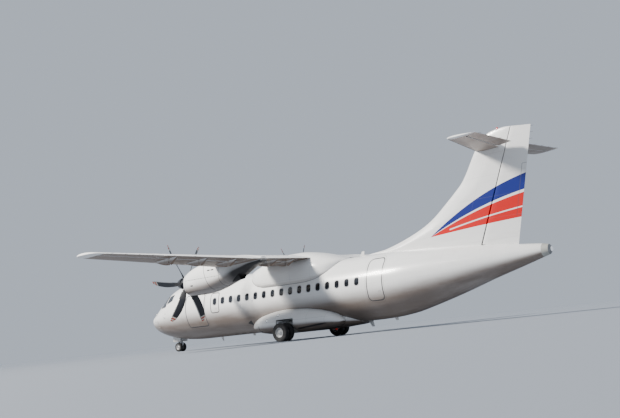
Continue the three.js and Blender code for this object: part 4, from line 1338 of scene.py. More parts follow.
def tailplane():
    """The tailplane from tip to tip, with the elevators' room cut out."""
    span, tip = TAIL["half"] - TAIL["tip"], TAIL["tip"]
    ends = []
    for i in range(1, 8):
        turn = i / 7 * math.pi / 2 * 0.96
        ends.append((span + tip * math.sin(turn), max(0.08, math.cos(turn)), 0.2 * (1 - math.cos(turn))))
    port = [tail_ring(-side, *shape) for side, *shape in reversed(ends)]
    starboard = [tail_ring(side, *shape) for side, *shape in ends]
    middle = [tail_ring(y) for y in spread(-span, span, 0.5)]
    plane = loft("tailplane_skin", [*port, *middle, *starboard])
    return cut(plane, *[elevator_slot(hand) for _, hand in SIDES])


class AIRLINER_OT_tail(bpy.types.Operator):
    """Make the fin, rudder, tailplane and elevators"""

    bl_idname = "airliner.tail"
    bl_label = "Tail"

    def execute(self, context):
        heights = [*spread(3.0, 3.372, 0.12)[:-1], *spread(3.372, 4.28, 0.035), *spread(4.28, 7.1, 0.09)[1:],
                   *spread(7.1, 7.585, 0.03)[1:]]
        fin = loft("fin_skin", [fin_ring(z) for z in heights])
        across_line(fin, FIN_TOP, keep_below=True)
        finished(fin, "fin_paint", ["fin", "fin_tip"], angle=40)
        rudder = loft("rudder_skin", [rudder_ring(z) for z in spread(2.8, 7.7, 0.1)])
        across_line(rudder, FIN_TOP, keep_below=True)
        across_line(rudder, RUDDER_FOOT, keep_below=False)
        finished(rudder, "fin_paint", ["rudder"], "rudder", angle=40)
        plane = finished(tailplane(), "tailplane_paint", ["tailplane"])
        paint_faces(plane, "rubber_boot", boot_face(tail_front, 0.25, 3.5))
        for name, hand in SIDES:
            node = f"elevator_{name}"
            ends = spread(ELEVATOR["from"] + 2 * FLAPS["gap"], ELEVATOR["to"] - 2 * FLAPS["gap"], 0.4)
            made = loft(f"{node}_skin", [elevator_ring(hand * y) for y in ends])
            finished(made, "tailplane_paint", [node], node)
        return {"FINISHED"}


# Antennas, probes, lamps and wicks

ANTENNA = {
    "thick": 0.014, "tip": 0.62,
    # share of the height, and the share of the chord that rounding leaves there
    "stops": ((-0.15, 1.0), (0.0, 1.0), (0.5, 1.0), (0.86, 1.0), (0.97, 0.9), (1.0, 0.7)),
}


def blade_antenna(root, height, chord, sweep):
    """A small swept blade antenna that stands on the body, or hangs where its height is negative."""
    rings = []
    for share, size in ANTENNA["stops"]:
        up = max(share, 0.0)
        long = chord * (1 - (1 - ANTENNA["tip"]) * up) * size
        wide = ANTENNA["thick"] * (1 - 0.6 * up ** 2)
        rings.append([root + Vector((c * long / 2 + sweep * share, s * wide / 2, height * share))
                      for c, s in circle(20)])
    return loft("antenna", rings)


def body_side(station, z, hand, out=0.0):
    """A point on the body's skin at a station and height."""
    row = body_row(station)
    half = row[3] * math.sqrt(max(0.0, 1 - ((z - row[4]) / height_from(row, z)) ** 2))
    return at(station, hand * (half + out), z)


ANTENNAS = [
    # station, height over the body (negative below it), chord, sweep back
    (3.71, 0.3, 0.3, 0.12), (13.75, 0.2, 0.22, 0.08), (16.4, 0.09, 0.3, 0.02),
    (4.76, -0.2, 0.16, 0.06), (6.9, -0.1, 0.22, 0.03), (13.85, -0.26, 0.24, 0.1), (15.2, -0.12, 0.2, 0.04),
]
PROBES = [(1.02, 2.0), (1.16, 1.62), (1.3, 1.32)]
WIPERS = [
    # station and side distance of each arm's foot and tip
    ((1.28, 0.1), (1.72, 0.3)), ((1.36, 0.46), (1.86, 0.62)),
]
VANE = (1.95, 1.78)
WICKS = {
    # side distances, and heights on the rudder
    "aileron": (9.9, 10.5, 11.1, 11.7), "flap_outer": (7.9, 8.9), "elevator": (1.5, 2.1, 2.7, 3.3),
    "rudder": (6.9, 7.15, 7.4),
}


def probe(station, z, hand):
    """A pitot tube on a bent foot."""
    root = body_side(station, z, hand, -0.03)
    bend = body_side(station + 0.01, z, hand, 0.075)
    foot = rod("foot", root, bend, 0.011, 0.009, sides=16)
    tube = rod("tube", bend + Vector((0.05, 0, 0)), bend - Vector((0.13, 0, 0)), 0.011, 0.006, sides=16)
    return [foot, tube]


def vane(hand):
    """A wind vane on its post."""
    tip = body_side(*VANE, hand, 0.05)
    post = rod("post", body_side(*VANE, hand, -0.02), tip, 0.012, sides=16)
    return [post, rod("vane", tip, tip + Vector((0.1, 0, -0.02)), 0.008, 0.004, sides=12)]


def wiper(hand, foot, tip):
    """An arm over a windscreen with its blade across the end."""
    ends = []
    for station, side in (foot, tip):
        row = body_row(station)
        share = min(0.98, side / row[3])
        top = row[4] + (row[1] - row[4]) * math.sqrt(1 - share ** 2)
        ends.append(at(station, hand * side, top + 0.022))
    arm = rod("wiper_arm", ends[0] - Vector((0, 0, 0.03)), ends[1], 0.009, 0.006, sides=12)
    run = ends[1] - ends[0]
    blade = rod("wiper_blade", ends[0] + run * 0.4, ends[1] + run * 0.12, 0.007, sides=12)
    return [arm, blade]


def wicks(body, places):
    """Static wicks on the rear edge of the surface that carries them."""
    made = []
    for place in places:
        end = place + Vector((sizes().wick, 0, -0.004))
        made.append(rod("wick", place - Vector((0.02, 0, 0)), end, 0.006, 0.0035, sides=8, chamfer=0.002))
    finished(joined(f"wicks_{body}", made), "hose", body=body, angle=50)


class AIRLINER_OT_details(bpy.types.Operator):
    """Make the antennas, probes, wipers and static wicks"""

    bl_idname = "airliner.details"
    bl_label = "Antennas and probes"

    def execute(self, context):
        blades = []
        for station, height, chord, sweep in ANTENNAS:
            level = body_row(station)[1 if height > 0 else 2]
            blades.append(blade_antenna(at(station, 0, level), height, chord, sweep))
        finished(joined("antennas", blades), "antenna_white", angle=50)
        rods = []
        for _, hand in SIDES:
            for station, z in PROBES:
                rods += probe(station, z, hand)
            rods += vane(hand)
        finished(joined("probes", rods), "nickel", angle=50)
        arms = [piece for _, hand in SIDES for foot, tip in WIPERS for piece in wiper(hand, foot, tip)]
        finished(joined("wipers", arms), "hose", angle=50)
        for name, hand in SIDES:
            rear = [at(sum(tail_at(y)), hand * y, TAIL["height"]) for y in WICKS["elevator"]]
            wicks(f"aileron_{name}", [wing_point(hand * y, 1.0) for y in WICKS["aileron"]])
            wicks(f"elevator_{name}", rear)
            wicks(f"flap_outer_{name}", [wing_point(hand * y, 1.0) for y in WICKS["flap_outer"]])
        wicks("rudder", [at(fin_tail(z), 0, z) for z in WICKS["rudder"]])
        return {"FINISHED"}


def dome(name, centre, axis, radius, height):
    """A small round lamp glass that bulges along an axis."""
    outline = [(0.0, -0.03), (radius, -0.03), (radius, 0.0)]
    for i in range(1, 8):
        turn = math.pi / 2 * i / 7
        outline.append((radius * math.cos(turn) if i < 7 else 0.0, height * math.sin(turn)))
    return lathe(name, outline, centre, axis, steps=32)


def bezel(place, facing, radius):
    """The thin dark ring round a lamp."""
    outline = [(radius, -0.02), (radius + 0.014, -0.02), (radius + 0.014, 0.003), (radius + 0.01, 0.005),
               (radius, 0.005)]
    return lathe("bezel", outline, place, facing, steps=32)


LAMPS = {
    # station, height and radius, and the beacons' height over their foot
    "tail": (LENGTH, 2.5, 0.1), "ice": (8.25, 2.05, 0.045),
    "beacons": ((21.05, 7.566, 0.05, 0.075), (11.9, 0.338, 0.06, -0.07)),
    # distance from the wing's end and radius, places on a pod and radius
    "tip": (0.17, 0.055), "pod": ((9.3, 1.0), (10.02, 1.19)), "pod_radius": 0.058,
}


class AIRLINER_OT_lamps(bpy.types.Operator):
    """Make the position lamps, beacons, landing lamps and the tail lamp"""

    bl_idname = "airliner.lamps"
    bl_label = "Lamps"

    def execute(self, context):
        end, level, radius = LAMPS["tail"]
        lamp = dome("tail_lamp", at(end - 0.004, 0, level), (1, 0, 0), radius, 0.06)
        finished(lamp, "clear_lens", angle=50)
        finished(bezel(at(end, 0, level), (1, 0, 0), radius), "pane_frame")
        beacons = []
        for station, level, radius, height in LAMPS["beacons"]:
            up = (0, 0, math.copysign(1, height))
            beacons.append(dome("beacon", at(station, 0, level), up, radius, abs(height)))
        finished(joined("beacons", beacons), "red_lens", angle=50)
        lenses = []
        rims = []

        def framed(place, facing, radius, height):
            lenses.append(dome("lamp", place, facing, radius, height))
            rims.append(bezel(place, facing, radius))

        inset, radius = LAMPS["tip"]
        for name, hand in SIDES:
            place = wing_point(hand * (HALF_SPAN - inset), 0.1, 0.0)
            lamp = dome(f"position_lamp_{name}", place, (-0.75, hand * 0.66, 0), radius, 0.06)
            finished(lamp, "red_lens" if hand < 0 else "green_lens", angle=50)
            for station, level in LAMPS["pod"]:
                framed(*pod_skin(station, level, hand), LAMPS["pod_radius"], 0.012)
            station, level, size = LAMPS["ice"]
            framed(body_side(station, level, hand), (0, hand, 0.1), size, 0.008)
        finished(joined("lamp_rims", rims), "pane_frame", angle=50)
        finished(joined("side_lamps", lenses), "clear_lens", angle=50)
        return {"FINISHED"}


# Landing gear

NOSE_GEAR = {"station": 1.72, "radius": 0.225, "width": 0.15, "spread": 0.135, "rim": 0.125, "axle": 0.028}
MAIN_GEAR = {
    "station": 10.5, "side": 2.05, "radius": 0.4065, "width": 0.22, "spread": 0.205, "rim": 0.215,
    "axle": 0.048,
}
# Shares of the wall's height and of half the width, from the rim to the shoulder
TYRE_WALL = [(0.0, -0.8), (0.12, -0.93), (0.45, -1.0), (0.72, -0.96), (0.9, -0.84)]
GROOVES = (-0.42, -0.14, 0.14, 0.42)


def tyre(name, gear, centre):
    """A tyre with four grooves round its tread."""
    half, rim, radius = gear["width"] / 2, gear["rim"], gear["radius"]
    deep = radius - 0.02 * radius
    side = [*[(rim + share * (radius - rim), s) for share, s in TYRE_WALL], (radius - 0.006, -0.68)]
    tread = [(radius - 0.002, -0.58)]
    for place in GROOVES:
        tread += [(radius, place - 0.05), (deep, place - 0.03), (deep, place + 0.03), (radius, place + 0.05)]
    tread.append((radius - 0.002, 0.58))
    outline = [*side, *tread, *[(r, -s) for r, s in reversed(side)]]
    return lathe(name, [(r, s * half) for r, s in outline], centre, (0, 1, 0), steps=96)


def wheel_disc(name, gear, centre, hand):
    """A rim with a flange, a dished web with holes round it, and a hub cap."""
    half, rim, axle = gear["width"] * 0.4, gear["rim"] - 0.0005, gear["axle"]
    outline = [
        (axle + 0.002, -half), (axle + 0.022, -half), (rim * 0.5, -half * 0.7), (rim * 0.9, -half * 0.9),
        (rim, -half), (rim, half), (rim - 0.012, half), (rim * 0.86, half * 0.55), (rim * 0.62, half * 0.3),
        (rim * 0.42, half * 0.42), (rim * 0.4, half * 0.75), (rim * 0.3, half * 0.95), (axle + 0.002, half),
    ]
    made = lathe(name, [(r, hand * s) for r, s in outline], centre, (0, 1, 0), steps=64)
    holes = []
    for c, s in circle(9):
        place = centre + Vector((c, 0, s)) * rim * 0.72
        holes.append(rod("hole", place, place + Vector((0, hand * half * 1.2, 0)), rim * 0.085, sides=16))
    return cut(made, joined("holes", holes))


def wheels(prefix, gear, centre, body):
    """A pair of wheels on one axle."""
    for name, hand in SIDES:
        middle = centre + Vector((0, hand * gear["spread"], 0))
        rubber, rim = f"{prefix}_tyre_{name}", f"{prefix}_rim_{name}"
        tread, disc = tyre(f"{rubber}_tread", gear, middle), wheel_disc(f"{rim}_disc", gear, middle, hand)
        finished(tread, "tyre_rubber", [rubber], body, "tyre", 30)
        finished(disc, "wheel_paint", [rim], body, "wheel_metal", 30)


class AIRLINER_OT_wheels(bpy.types.Operator):
    """Make the tyres and rims"""

    bl_idname = "airliner.wheels"
    bl_label = "Wheels"

    def execute(self, context):
        nose = at(NOSE_GEAR["station"], 0, NOSE_GEAR["radius"])
        wheels("nose", NOSE_GEAR, nose, "nose_wheels")
        for name, hand in SIDES:
            middle = at(MAIN_GEAR["station"], hand * MAIN_GEAR["side"], MAIN_GEAR["radius"])
            wheels(f"main_{name}", MAIN_GEAR, middle, f"main_wheels_{name}")
        return {"FINISHED"}


NOSE_LEG = {
    "foot": 0.56, "bore": 0.0415, "pin": 1.14, "across": 0.256,
    # height over the foot, radius
    "barrel": [(0.0, 0.055), (0.006, 0.062), (0.05, 0.062), (0.056, 0.056), (0.36, 0.056), (0.366, 0.068),
               (0.42, 0.068), (0.426, 0.056), (0.615, 0.056), (0.62, 0.05)],
    # distances ahead of the leg, to its side and over the ground
    "hose": [(-0.05, 0.05, 1.12), (-0.072, 0.045, 0.9), (-0.076, 0.05, 0.75), (-0.09, 0.085, 0.665)],
}
NOSE_FORK = {
    "piston": (0.89, 0.0398), "knee": (0.2, 0.385), "lamp": (-0.057, 0.495),
    # distance along each turned piece, radius
    "collar": [(0.0, 0.052), (0.006, 0.07), (0.077, 0.07), (0.083, 0.052)],
    "hub": [(0.0, 0.045), (0.01, 0.056), (0.11, 0.056), (0.13, 0.044)],
    "axle": [(0.0, 0.018), (0.008, 0.024), (0.02, 0.024), (0.024, 0.0275), (0.366, 0.0275), (0.37, 0.024),
             (0.382, 0.024), (0.39, 0.018)],
    # radius, distance along the taxi lamp
    "lamp_shell": [(0.0, 0.0), (0.03, 0.0), (0.045, 0.02), (0.045, 0.07), (0.04, 0.07), (0.038, 0.055),
                   (0.0, 0.055)],
    "lamp_glass": [(0.0, 0.056), (0.0375, 0.056), (0.0375, 0.066), (0.02, 0.071), (0.0, 0.072)],
}
NOSE_DOOR = {"x": (1.48, 2.0), "y": (0.236, 0.2592), "z": (0.505, 0.9)}
MAIN_LEG = {
    # station, side and height of the joints between the members
    "top": (10.25, 1.29, 0.95), "knee": (10.05, 2.05, 0.64), "shoulder": (10.18, 2.03, 0.865),
    "damper": (10.42, 2.05, 0.4365), "trunnion": (9.945, 10.955), "brake": 0.073,
    "axle": [(0.0, 0.03), (0.01, 0.04), (0.03, 0.04), (0.036, 0.0475), (0.574, 0.0475), (0.58, 0.04),
             (0.6, 0.04), (0.61, 0.03)],
    "disc": [(0.0, 0.12), (0.004, 0.145), (0.012, 0.145), (0.014, 0.152), (0.028, 0.152), (0.03, 0.14),
             (0.036, 0.12)],
    # share of the way to the axle, half height, half width
    "arm": ((-0.12, 0.03, 0.03), (0.0, 0.056, 0.05), (0.3, 0.066, 0.046), (0.7, 0.06, 0.042),
            (1.0, 0.056, 0.05), (1.1, 0.03, 0.03)),
}
LEG_DOOR = {"x": (9.96, 10.9), "y": (1.33, 1.69), "under": 0.062, "thick": 0.018}


def turned(name, stops, start, run, bore=0.0, steps=40):
    """A turned bar or sleeve. Its stops are (distance from the start, radius)."""
    inner = [(bore, stops[-1][0]), (bore, stops[0][0])]
    return lathe(name, [*[(radius, place) for place, radius in stops], *inner], start, run, steps)


def collared(name, start, end, radius, end_radius=None, collar=1.25, size=0.05):
    """A round member with a thicker collar at each end."""
    end_radius = end_radius or radius
    run = end - start
    thick, end_thick = radius * collar, end_radius * collar
    stops = [
        (0.0, thick - 0.004), (0.004, thick), (size, thick), (size + 0.006, radius),
        (run.length - size - 0.006, end_radius), (run.length - size, end_thick),
        (run.length - 0.004, end_thick), (run.length, end_thick - 0.004),
    ]
    return turned(name, stops, start, run)


def pipe(points, radius=0.007, sides=10):
    """A hose on a smooth curve through its points."""
    rows = [(float(i), *point) for i, point in enumerate(points)]
    places = [Vector(along(rows, t)[1:]) for t in spread(0.0, len(points) - 1.0, 0.2)]
    rings = []
    for i, place in enumerate(places):
        run = (places[min(i + 1, len(places) - 1)] - places[max(i - 1, 0)]).normalized()
        out = (Vector((1, 0, 0)) - run * run.x).normalized()
        across = run.cross(out)
        rings.append([place + (out * c + across * s) * radius for c, s in circle(sides)])
    return loft("hose", rings)


def link_arm(name, start, end, wide, narrow, half):
    """A flat tapered arm between two points of the centre plane, thinner at its end."""
    run = (end - start).normalized()
    up = Vector((-run.z, 0, run.x))
    outline = [start - run * wide * 0.5 - up * wide * 0.4, start - up * wide * 0.6, end - up * narrow * 0.6,
               end + run * narrow * 0.5, end + up * narrow * 0.6, start + up * wide * 0.6,
               start - run * wide * 0.5 + up * wide * 0.4]
    rings = [[p + Vector((0, y, 0)) for p in outline] for y in (-half, -half * 0.35, half * 0.35, half)]
    return loft(name, rings)


def nose_leg():
    """The fixed half of the nose leg: barrel, cross pin, drag braces, steering jacks and hoses."""
    x = NOSE_GEAR["station"]
    metal = {"slot": "gear_metal"}
    pin = [at(x, hand * NOSE_LEG["across"], NOSE_LEG["pin"]) for _, hand in SIDES]
    parts = [
        turned("barrel", NOSE_LEG["barrel"], at(x, 0, NOSE_LEG["foot"]), (0, 0, 1), NOSE_LEG["bore"]),
        collared("cross_pin", *pin, 0.036, collar=1.3, size=0.03),
        collared("brace_top", at(1.985, -0.2, 1.08), at(1.985, 0.2, 1.08), 0.024, collar=1.3, size=0.02),
    ]
    hoses = []
    for _, hand in SIDES:
        jack = [at(x + reach, hand * 0.088, 0.64) for reach in (-0.12, 0.13)]
        brace = [at(x, hand * 0.05, 0.68), at(1.98, hand * 0.17, 1.08)]
        parts.append(collared("brace", *brace, 0.02, size=0.04))
        parts.append(collared("jack", *jack, 0.02, collar=1.35, size=0.07))
        hoses.append(pipe([at(x + reach, hand * side, z) for reach, side, z in NOSE_LEG["hose"]]))
    finished(joined("nose_leg_frame", parts), "gear_finish", ["nose_leg"], **metal)
    finished(joined("nose_leg_hoses", hoses), "hose", **metal)


def nose_fork():
    """The half that steers: chrome piston, collar, torque links, axle and taxi lamp."""
    x, level = NOSE_GEAR["station"], NOSE_GEAR["radius"]
    rides = {"body": "nose_fork", "slot": "gear_metal"}
    top, radius = NOSE_FORK["piston"]
    finished(rod("nose_piston", at(x, 0, level), at(x, 0, top), radius, sides=40), "chrome", **rides)
    (back, low), (ahead, height) = NOSE_FORK["knee"], NOSE_FORK["lamp"]
    knee, lamp = at(x + back, 0, low), at(x + ahead, 0, height)
    pin = Vector((0, 0.042, 0))
    parts = [
        turned("collar", NOSE_FORK["collar"], at(x, 0, 0.47), (0, 0, 1)),
        turned("hub", NOSE_FORK["hub"], at(x, 0, 0.165), (0, 0, 1)),
        turned("axle", NOSE_FORK["axle"], at(x, -0.195, level), (0, 1, 0)),
        link_arm("upper_link", at(x + 0.075, 0, 0.51), knee, 0.07, 0.035, 0.034),
        link_arm("lower_link", at(x + 0.05, 0, 0.25), knee, 0.07, 0.035, 0.026),
        rod("knee_pin", knee - pin, knee + pin, 0.014),
        lathe("lamp_shell", NOSE_FORK["lamp_shell"], lamp, (-1, 0, 0), steps=32),
    ]
    finished(joined("nose_fork_frame", parts), "gear_finish", ["nose_fork"], **rides)
    finished(lathe("taxi_lamp", NOSE_FORK["lamp_glass"], lamp, (-1, 0, 0), steps=32), "clear_lens", **rides)


def nose_door(name, hand):
    """A nose gear door with rounded lower corners, and ribs and hinge arms inside."""
    (x0, x1), (y0, y1), (z0, z1) = NOSE_DOOR["x"], NOSE_DOOR["y"], NOSE_DOOR["z"]
    inner, outer = sorted((hand * (y1 - 0.012), hand * y1))
    parts = [block("plate", at(x0, inner, z0), at(x1, outer, z1), corner=0.05, segments=5, edge=0.003)]
    near, far = sorted((hand * y0, hand * (y1 - 0.011)))
    for station in spread(x0 + 0.07, x1 - 0.07, 0.125):
        low, high = at(station - 0.008, near, z0 + 0.04), at(station + 0.008, far, z1 - 0.02)
        parts.append(block("rib", low, high, edge=0.003, axis=2))
    made = joined(f"nose_gear_door_{name}_panel", parts)
    finished(made, "belly_paint", [f"nose_gear_door_{name}"], slot="painted_composite")


def sided(point, hand):
    """A point given for the right side, on the side of a hand."""
    return at(point[0], hand * point[1], point[2])


def leg_door(name, hand):
    """The door under a main leg: a plate on the leg's slope, with a stiffener frame behind it."""
    (_, side, height), (_, far, low) = MAIN_LEG["top"], MAIN_LEG["knee"]
    (x0, x1), (y0, y1) = LEG_DOOR["x"], LEG_DOOR["y"]
    inner, outer = sorted((hand * y0, hand * y1))
    corners = at(x0, inner, -LEG_DOOR["thick"]), at(x1, outer, -0.006)
    plate = block("plate", *corners, corner=0.06, axis=2, edge=0.002)
    frames = [block("frame", at(x, inner + 0.03, -0.007), at(x + 0.02, outer - 0.03, 0.02), edge=0.003)
              for x in (x0 + 0.05, (x0 + x1) / 2, x1 - 0.09)]
    made = joined(f"main_leg_{name}_door", [plate, *frames])
    mesh = edit(made)
    for point in mesh.verts:
        share = (abs(point.co.y) - side) / (far - side)
        point.co.z = point.co.z + height + share * (low - height) - LEG_DOOR["under"]
    bmesh.update_edit_mesh(made.data)
    bpy.ops.object.mode_set(mode="OBJECT")
    finished(made, "belly_paint", slot="painted_composite")


def trailing_arm(start, end):
    """The forged arm from the knee to the axle, deeper in its middle."""
    run = (end - start).normalized()
    up = Vector((-run.z, 0, run.x))
    rings = []
    for share, deep, half in MAIN_LEG["arm"]:
        place = start + (end - start) * share
        rings.append([place + up * deep * swollen(s, 0.6) + Vector((0, half * swollen(c, 0.6), 0))
                      for c, s in circle(24)])
    return loft("trailing_arm", rings)


def brake_hose(hand, gap, top, knee, middle):
    """A hose from a main leg's top to its brakes."""
    return pipe([
        top + Vector((-0.07 - gap, hand * 0.05, -0.03)),
        (top + knee) / 2 + Vector((-0.075 - gap, 0, -0.03)),
        knee + Vector((-0.07, -hand * (0.05 + gap), 0.05)),
        (knee + middle) / 2 + Vector((-0.02, hand * (0.055 + gap / 5), 0.09)),
        middle + Vector((-0.05, hand * 0.065, 0.09)),
    ])


def main_leg(name, hand):
    """A main leg: trunnion, slanting strut, trailing arm, shock absorber, axle with brakes, and hoses."""
    top, knee, shoulder, foot = (sided(MAIN_LEG[key], hand) for key in ("top", "knee", "shoulder", "damper"))
    middle = at(MAIN_GEAR["station"], hand * MAIN_GEAR["side"], MAIN_GEAR["radius"])
    across = Vector((0, 1, 0))
    metal = {"slot": "gear_metal"}
    drop = foot - shoulder
    sleeve_end = shoulder + drop * 0.58
    trunnion = [sided((x, *MAIN_LEG["top"][1:]), hand) for x in MAIN_LEG["trunnion"]]
    parts = [
        collared("trunnion", *trunnion, 0.048, collar=1.3),
        collared("strut", top, knee, 0.062, 0.054, collar=1.15, size=0.07),
        collared("beam", top, shoulder, 0.036, collar=1.2),
        collared("pivot", knee - across * 0.078, knee + across * 0.078, 0.056, collar=1.12, size=0.02),
        trailing_arm(knee, middle),
        turned("axle", MAIN_LEG["axle"], middle - across * 0.305, (0, 1, 0)),
        collared("damper_sleeve", shoulder, sleeve_end, 0.036, collar=1.2, size=0.03),
        collared("damper_eye", foot - across * 0.045, foot + across * 0.045, 0.03, size=0.01),
        rod("link", (top + knee) / 2, shoulder + (top - shoulder) * 0.2, 0.02),
    ]
    for out in (-1, 1):
        place = middle + across * out * MAIN_LEG["brake"]
        parts.append(turned("brake", MAIN_LEG["disc"], place, across * out, 0.03, steps=48))
    finished(joined(f"main_leg_{name}_frame", parts), "gear_finish", [f"main_leg_{name}"], **metal)
    piston = rod(f"main_leg_{name}_piston", sleeve_end - drop * 0.05, foot, 0.023, sides=32)
    finished(piston, "chrome", **metal)
    hoses = [brake_hose(hand, gap, top, knee, middle) for gap in (0.0, 0.025)]
    finished(joined(f"main_leg_{name}_hoses", hoses), "hose", **metal)


class AIRLINER_OT_legs(bpy.types.Operator):
    """Make the legs, the fork and the gear doors"""

    bl_idname = "airliner.legs"
    bl_label = "Landing gear"

    def execute(self, context):
        nose_leg()
        nose_fork()
        for name, hand in SIDES:
            nose_door(name, hand)
            main_leg(name, hand)
            leg_door(name, hand)
        return {"FINISHED"}


# Finishes

class Field:
    """A socket of a finish, which can stand in sums."""

    def __init__(self, owner, socket):
        self.owner = owner
        self.socket = socket

    def math(self, operation, *others):
        """The result of a math node on this field and others."""
        return self.owner.node("ShaderNodeMath", {"operation": operation}, dict(enumerate((self, *others))))

    def __add__(self, other):
        return self.math("ADD", other)

    def __sub__(self, other):
        return self.math("SUBTRACT", other)

    def __rsub__(self, other):
        return self.owner.node("ShaderNodeMath", {"operation": "SUBTRACT"}, {0: other, 1: self})

    def __mul__(self, other):
        return self.math("MULTIPLY", other)

    def __truediv__(self, other):
        return self.math("DIVIDE", other)

    def __abs__(self):
        return self.math("ABSOLUTE")

    __radd__ = __add__
    __rmul__ = __mul__

    def step(self, low, high):
        """A smooth change from 0 to 1 as the value goes from low to high."""
        values = {"Value": self, "From Min": low, "From Max": high}
        return self.owner.node("ShaderNodeMapRange", {"interpolation_type": "SMOOTHSTEP"}, values)

    def nearest(self, pitch):
        """Distance to the nearest multiple of a pitch."""
        return self.math("PINGPONG", pitch / 2)


class Finish:
    """A material: its nodes, and the shader they feed."""

    def __init__(self, name):
        self.material = bpy.data.materials.new(name)
        self.material.use_nodes = True
        self.tree = self.material.node_tree
        self.shader = self.tree.nodes["Principled BSDF"]

    def node(self, kind, settings=None, values=None, output=0):
        """Adds a node, sets it, and gives its inputs values or links."""
        made = self.tree.nodes.new(kind)
        for key, value in (settings or {}).items():
            setattr(made, key, value)
        for key, value in (values or {}).items():
            self.feed(made.inputs[key], value)
        return Field(self, made.outputs[output])

    def feed(self, socket, value):
        """Gives a socket a field, a colour or a number."""
        if isinstance(value, Field):
            self.tree.links.new(value.socket, socket)
        elif socket.type == "RGBA" and len(value) == 3:
            socket.default_value = (*value, 1.0)
        else:
            socket.default_value = value

    def coordinates(self):
        """The place on the piece, which is the place in the frame."""
        return self.node("ShaderNodeTexCoord", output="Object")

    def axes(self):
        """Station, side and height."""
        x, y, z = [self.node("ShaderNodeSeparateXYZ", None, {0: self.coordinates()}, k) for k in range(3)]
        return x - NOSE, y, z

    def normal(self, axis):
        """How far a face looks along an axis."""
        facing = self.node("ShaderNodeTexCoord", output="Normal")
        return self.node("ShaderNodeSeparateXYZ", None, {0: facing}, axis)

    def noise(self, scale, detail=4.0, stretch=(1, 1, 1)):
        """Soft noise, drawn out where stretch is small."""
        place = self.node("ShaderNodeMapping", None, {"Vector": self.coordinates(), "Scale": stretch})
        values = {"Vector": place, "Scale": scale, "Detail": detail, "Roughness": 0.5}
        return self.node("ShaderNodeTexNoise", None, values)

    def mix(self, factor, first, second):
        """From a first colour to a second."""
        return self.node("ShaderNodeMix", {"data_type": "RGBA"}, {0: factor, 6: first, 7: second}, 2)

    def layers(self, colour, *layers):
        """A colour with others laid over it, each as (mask, colour)."""
        for mask, tint in layers:
            colour = self.mix(mask, colour, tint)
        return colour

    def bump(self, height, strength, distance=0.002):
        """Relief from a height."""
        values = {"Strength": strength, "Distance": distance, "Height": height}
        return self.node("ShaderNodeBump", None, values)

    def set(self, **values):
        """Sets or links the shader's own sockets, named with underscores for spaces."""
        for key, value in values.items():
            self.feed(self.shader.inputs[key.replace("_", " ")], value)
        return self.material


FINISHES = {}


def finish(name):
    """The material of a finish, made once."""
    if name not in FINISHES:
        FINISHES[name] = MAKERS[name](Finish(name))
    return FINISHES[name]


def rounded_edge(a, b, middle, half, corner):
    """Distance from a rounded rectangle's edge, in the plane of two coordinates."""
    out_a = (abs(a - middle[0]) - (half[0] - corner)).math("MAXIMUM", 0.0)
    out_b = (abs(b - middle[1]) - (half[1] - corner)).math("MAXIMUM", 0.0)
    return (out_a * out_a + out_b * out_b).math("SQRT") - corner


def line(distance, width):
    """A mask of a line: 1 where the distance from its middle is under half its width."""
    return abs(distance).step(width * 0.65, width * 0.35)


def patch(a, b, middle, half, corner, soft=0.006):
    """A mask that fills a rounded rectangle."""
    return rounded_edge(a, b, middle, half, corner).step(soft, -soft)


def most(masks):
    """The largest of several masks."""
    result = masks[0]
    for mask in masks[1:]:
        result = result.math("MAXIMUM", mask)
    return result


def patches(a, b, middles, *form):
    """A mask that fills a rounded rectangle at each of several places."""
    return most([patch(a, b, middle, *form) for middle in middles])


def between(value, low, high, soft=0.01):
    """A mask of the values from low to high."""
    return value.step(low, low + soft) * value.step(high, high - soft)


def grey(value):
    """A colour without a tint."""
    return (value, value, value)


def skin_base(f, grime_and_shade_strength, tint):
    """White paint that turns brown-grey on faces that look down: painted shade on the undersides, mixed with
    patchy grime.
    """
    facing = f.normal(2)
    broad = f.noise(0.9, 5.0, (0.35, 1, 1))
    film = f.noise(3.0, 4.0, (0.25, 1.5, 1.5)).step(0.45, 0.75) * 0.06
    # This mask is painted shade on faces that look down, made patchy like grime; it also makes them rougher.
    dirt_and_shade = facing.step(0.1, -0.5) * (0.72 + 0.5 * broad) * grime_and_shade_strength
    return f.mix((dirt_and_shade + film).math("MINIMUM", 0.96), paint().white, tint), dirt_and_shade


def panels(f, a, b, step_a, step_b, width):
    """The seams of a skin's panels, and a small difference of tone between them."""
    seams = most([line(a.nearest(step_a), width), line(b.nearest(step_b), width)])
    numbers = {0: (a / step_a).math("FLOOR"), 1: (b / step_b).math("FLOOR")}
    cell = f.node("ShaderNodeCombineXYZ", None, numbers)
    tone = f.node("ShaderNodeTexWhiteNoise", {"noise_dimensions": "2D"}, {"Vector": cell})
    return seams, tone


def door_marks(x, y, z):
    """The dark seals painted round the doors and exits, and a fine line outside the large ones."""
    marks = []
    for door in DOORS:
        middle = [sum(door[axis]) / 2 for axis in ("x", "z")]
        half = [(door[axis][1] - door[axis][0]) / 2 for axis in ("x", "z")]
        edge = rounded_edge(x, z, middle, half, door["corner"])
        handle = (door["x"][1] - 0.16, door["z"][0] + 0.4 * half[1])
        lines = [line(edge - 0.012, sizes().door_seal),
                 line(rounded_edge(x, z, handle, (0.06, 0.028), 0.02), 0.012) * 0.6]
        if door["deep"]:
            lines.append(line(edge - 0.095, 0.014) * 0.45)
        marks.append(most(lines) * (y * door["side"]).step(0.3, 0.4))
    return most(marks)


RADOME_SEAM = 0.84
TAIL_RING = 22.5


def front_inlet(x, z):
    """The dark three-cornered inlets ahead of the belly fairing."""
    inside = ((x - 7.56) * 0.45 - abs(z - 1.0)).step(-0.004, 0.004)
    return inside * x.step(7.86, 7.855)


